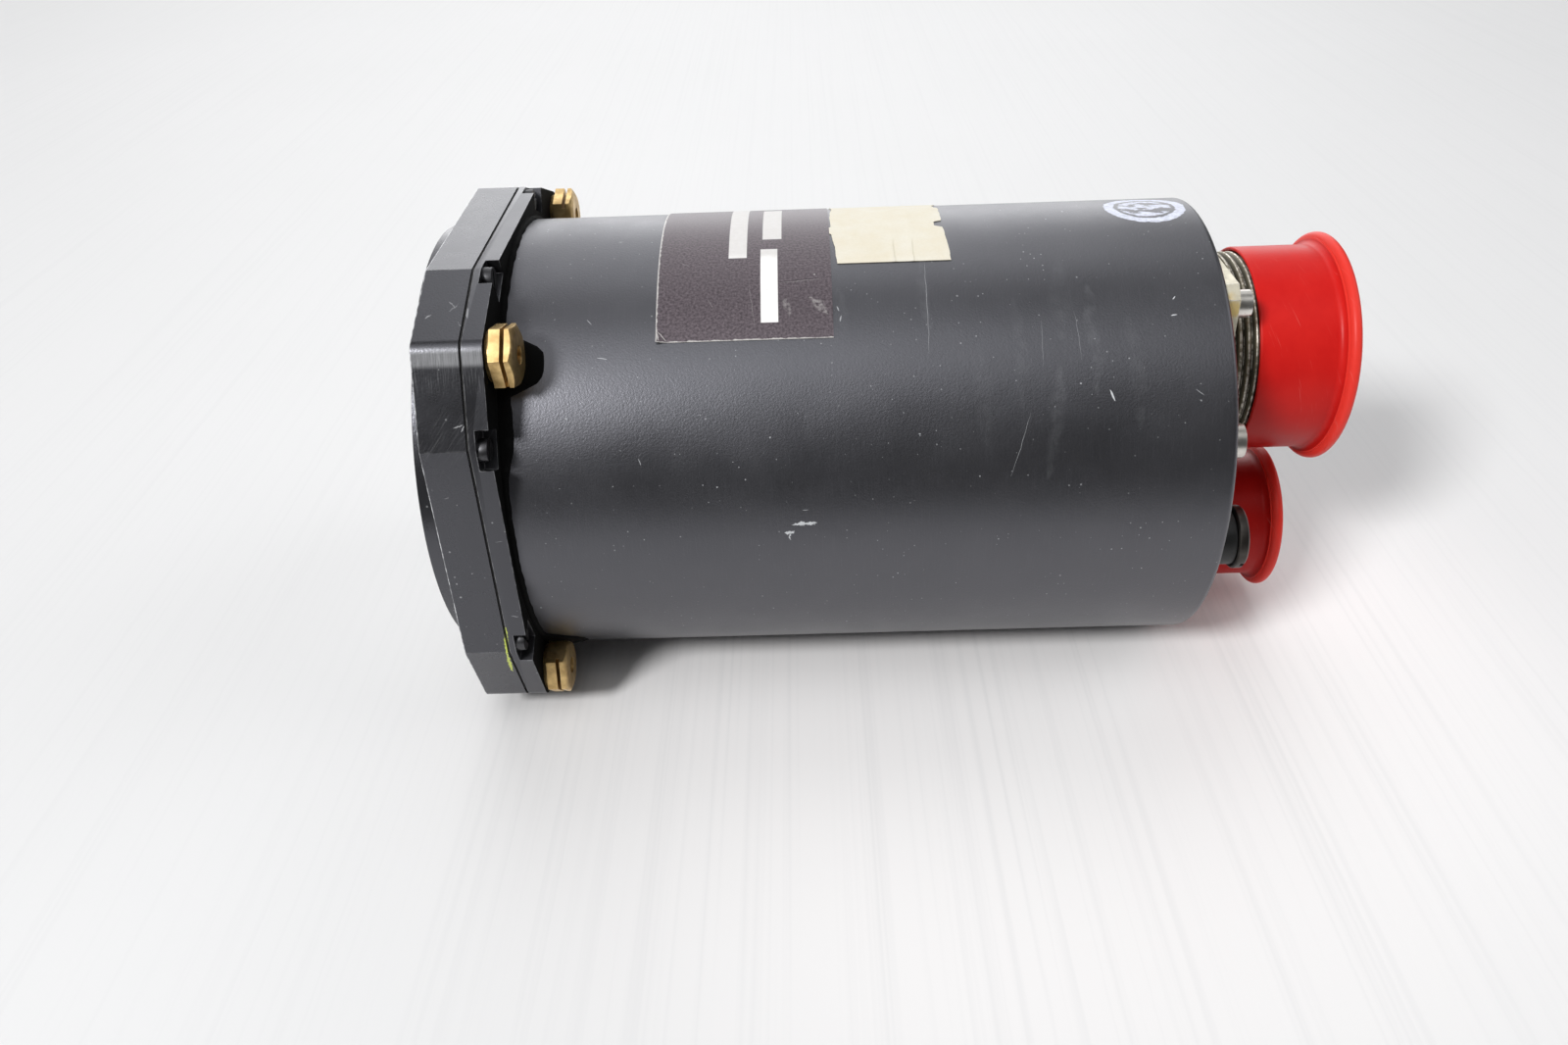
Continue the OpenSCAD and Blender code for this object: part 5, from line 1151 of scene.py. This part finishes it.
# %% The table
TABLE_FRONT = Vector((box_mm("mounting_flange")[1].x, 0, box_mm("bezel")[0].z))
TABLE_REAR = Vector((CASE_END, 0, -CASE_R))
TABLE_SIZE, TABLE_FRONT_EDGE = 4000, -180
SHADOW_LIFT_AT, SHADOW_LIFT_R = (95.0, -30.0, 0.0), 130.0

table_paint, wiring, shader, place = start_finish("table top", roughness=0.55)
cloudy = clouds(wiring, place, 160.0, 2.0)
color = wiring.blend(cloudy, (0.695, 0.695, 0.695), (0.713, 0.711, 0.713))
# Painted light: the table is paler and a little warmer close to the instrument, which lifts its shadow there.
shadow_lift_reach = wiring.vector("DISTANCE", wiring.vector("MULTIPLY", place, (1.0, 1.0, 0.0)), SHADOW_LIFT_AT)
color = wiring.blend(wiring.step(shadow_lift_reach, SHADOW_LIFT_R, 0.3 * SHADOW_LIFT_R), color, (0.86, 0.845, 0.84))
weave = hairlines(wiring, place, (1.0, 0.0, 0.0), 1.6, 300.0)
color = wiring.blend(wiring.times(wiring.step(weave, 0.45, 0.75), 0.25), color, (0.64, 0.64, 0.645))
wiring.fill(shader.inputs["Base Color"], color)

bm = bmesh.new()
bmesh.ops.create_grid(bm, x_segments=1, y_segments=1, size=TABLE_SIZE / 2)
bmesh.ops.translate(bm, vec=(0, TABLE_SIZE / 2 + TABLE_FRONT_EDGE, 0), verts=bm.verts)
slope = math.atan2(TABLE_REAR.z - TABLE_FRONT.z, TABLE_REAR.x - TABLE_FRONT.x)
bmesh.ops.rotate(bm, cent=(0, 0, 0), matrix=Matrix.Rotation(-slope, 3, "Y"), verts=bm.verts)
bmesh.ops.translate(bm, vec=TABLE_FRONT - Vector((0, 0, 0.02)), verts=bm.verts)
bmesh.ops.scale(bm, vec=(MM,) * 3, verts=bm.verts)
mesh = bpy.data.meshes.new("table")
bm.to_mesh(mesh)
bm.free()
table = bpy.data.objects.new("table", mesh)
bpy.context.scene.collection.objects.link(table)
table.data.materials.append(table_paint)
print("table slopes by", round(math.degrees(slope), 2), "degrees")

# %% The lamp
def towards(turn, height):
    """A direction, from its turn about +Z counted from +X and its height, both in degrees."""
    turn, height = math.radians(turn), math.radians(height)
    return Vector((math.cos(height) * math.cos(turn), math.cos(height) * math.sin(turn), math.sin(height)))


LAMP_TURN, LAMP_HEIGHT = 229, 37
LAMP_DISTANCE, LAMP_SIZE, LAMP_POWER = 3.0, 0.66, 84.0
lamp = bpy.data.objects.new("lamp", bpy.data.lights.new("lamp", "AREA"))
bpy.context.scene.collection.objects.link(lamp)
lamp.data.shape = "DISK"
lamp.data.size = LAMP_SIZE
lamp.data.energy = LAMP_POWER
aim = Vector((60, 0, 0)) * MM
lamp.location = aim + towards(LAMP_TURN, LAMP_HEIGHT) * LAMP_DISTANCE
lamp.rotation_euler = (aim - lamp.location).to_track_quat("-Z", "Y").to_euler()

# %% The sky
SKY_DIM, SKY_SEEN, SKY_TINT = 0.08, 0.91, (0.985, 0.99, 1.0)
SOFT_LIGHTS = [(262, 65, 28, 1.9), (91, 6, 40, 2.7), (95, 57, 32, 1.7), (2, 34, 30, 1.6)]
world = bpy.data.worlds.new("studio")
bpy.context.scene.world = world
world.use_nodes = True
wiring = Wiring(world.node_tree)
way = wiring.node("TexCoord").outputs["Generated"]
level = SKY_DIM
for turn, height, reach, bright in SOFT_LIGHTS:
    near = wiring.vector("DOT_PRODUCT", way, tuple(towards(turn, height)))
    glow = wiring.times(wiring.step(near, math.cos(math.radians(reach)), 1.0), bright)
    level = wiring.math("ADD", glow, level)
seen_directly = wiring.node("LightPath").outputs["Is Camera Ray"]
level = wiring.between(seen_directly, level, SKY_SEEN)
background = world.node_tree.nodes["Background"]
wiring.fill(background.inputs["Strength"], level)
wiring.fill(background.inputs["Color"], SKY_TINT)
bpy.context.scene.view_settings.view_transform = "Standard"

# %% [markdown]
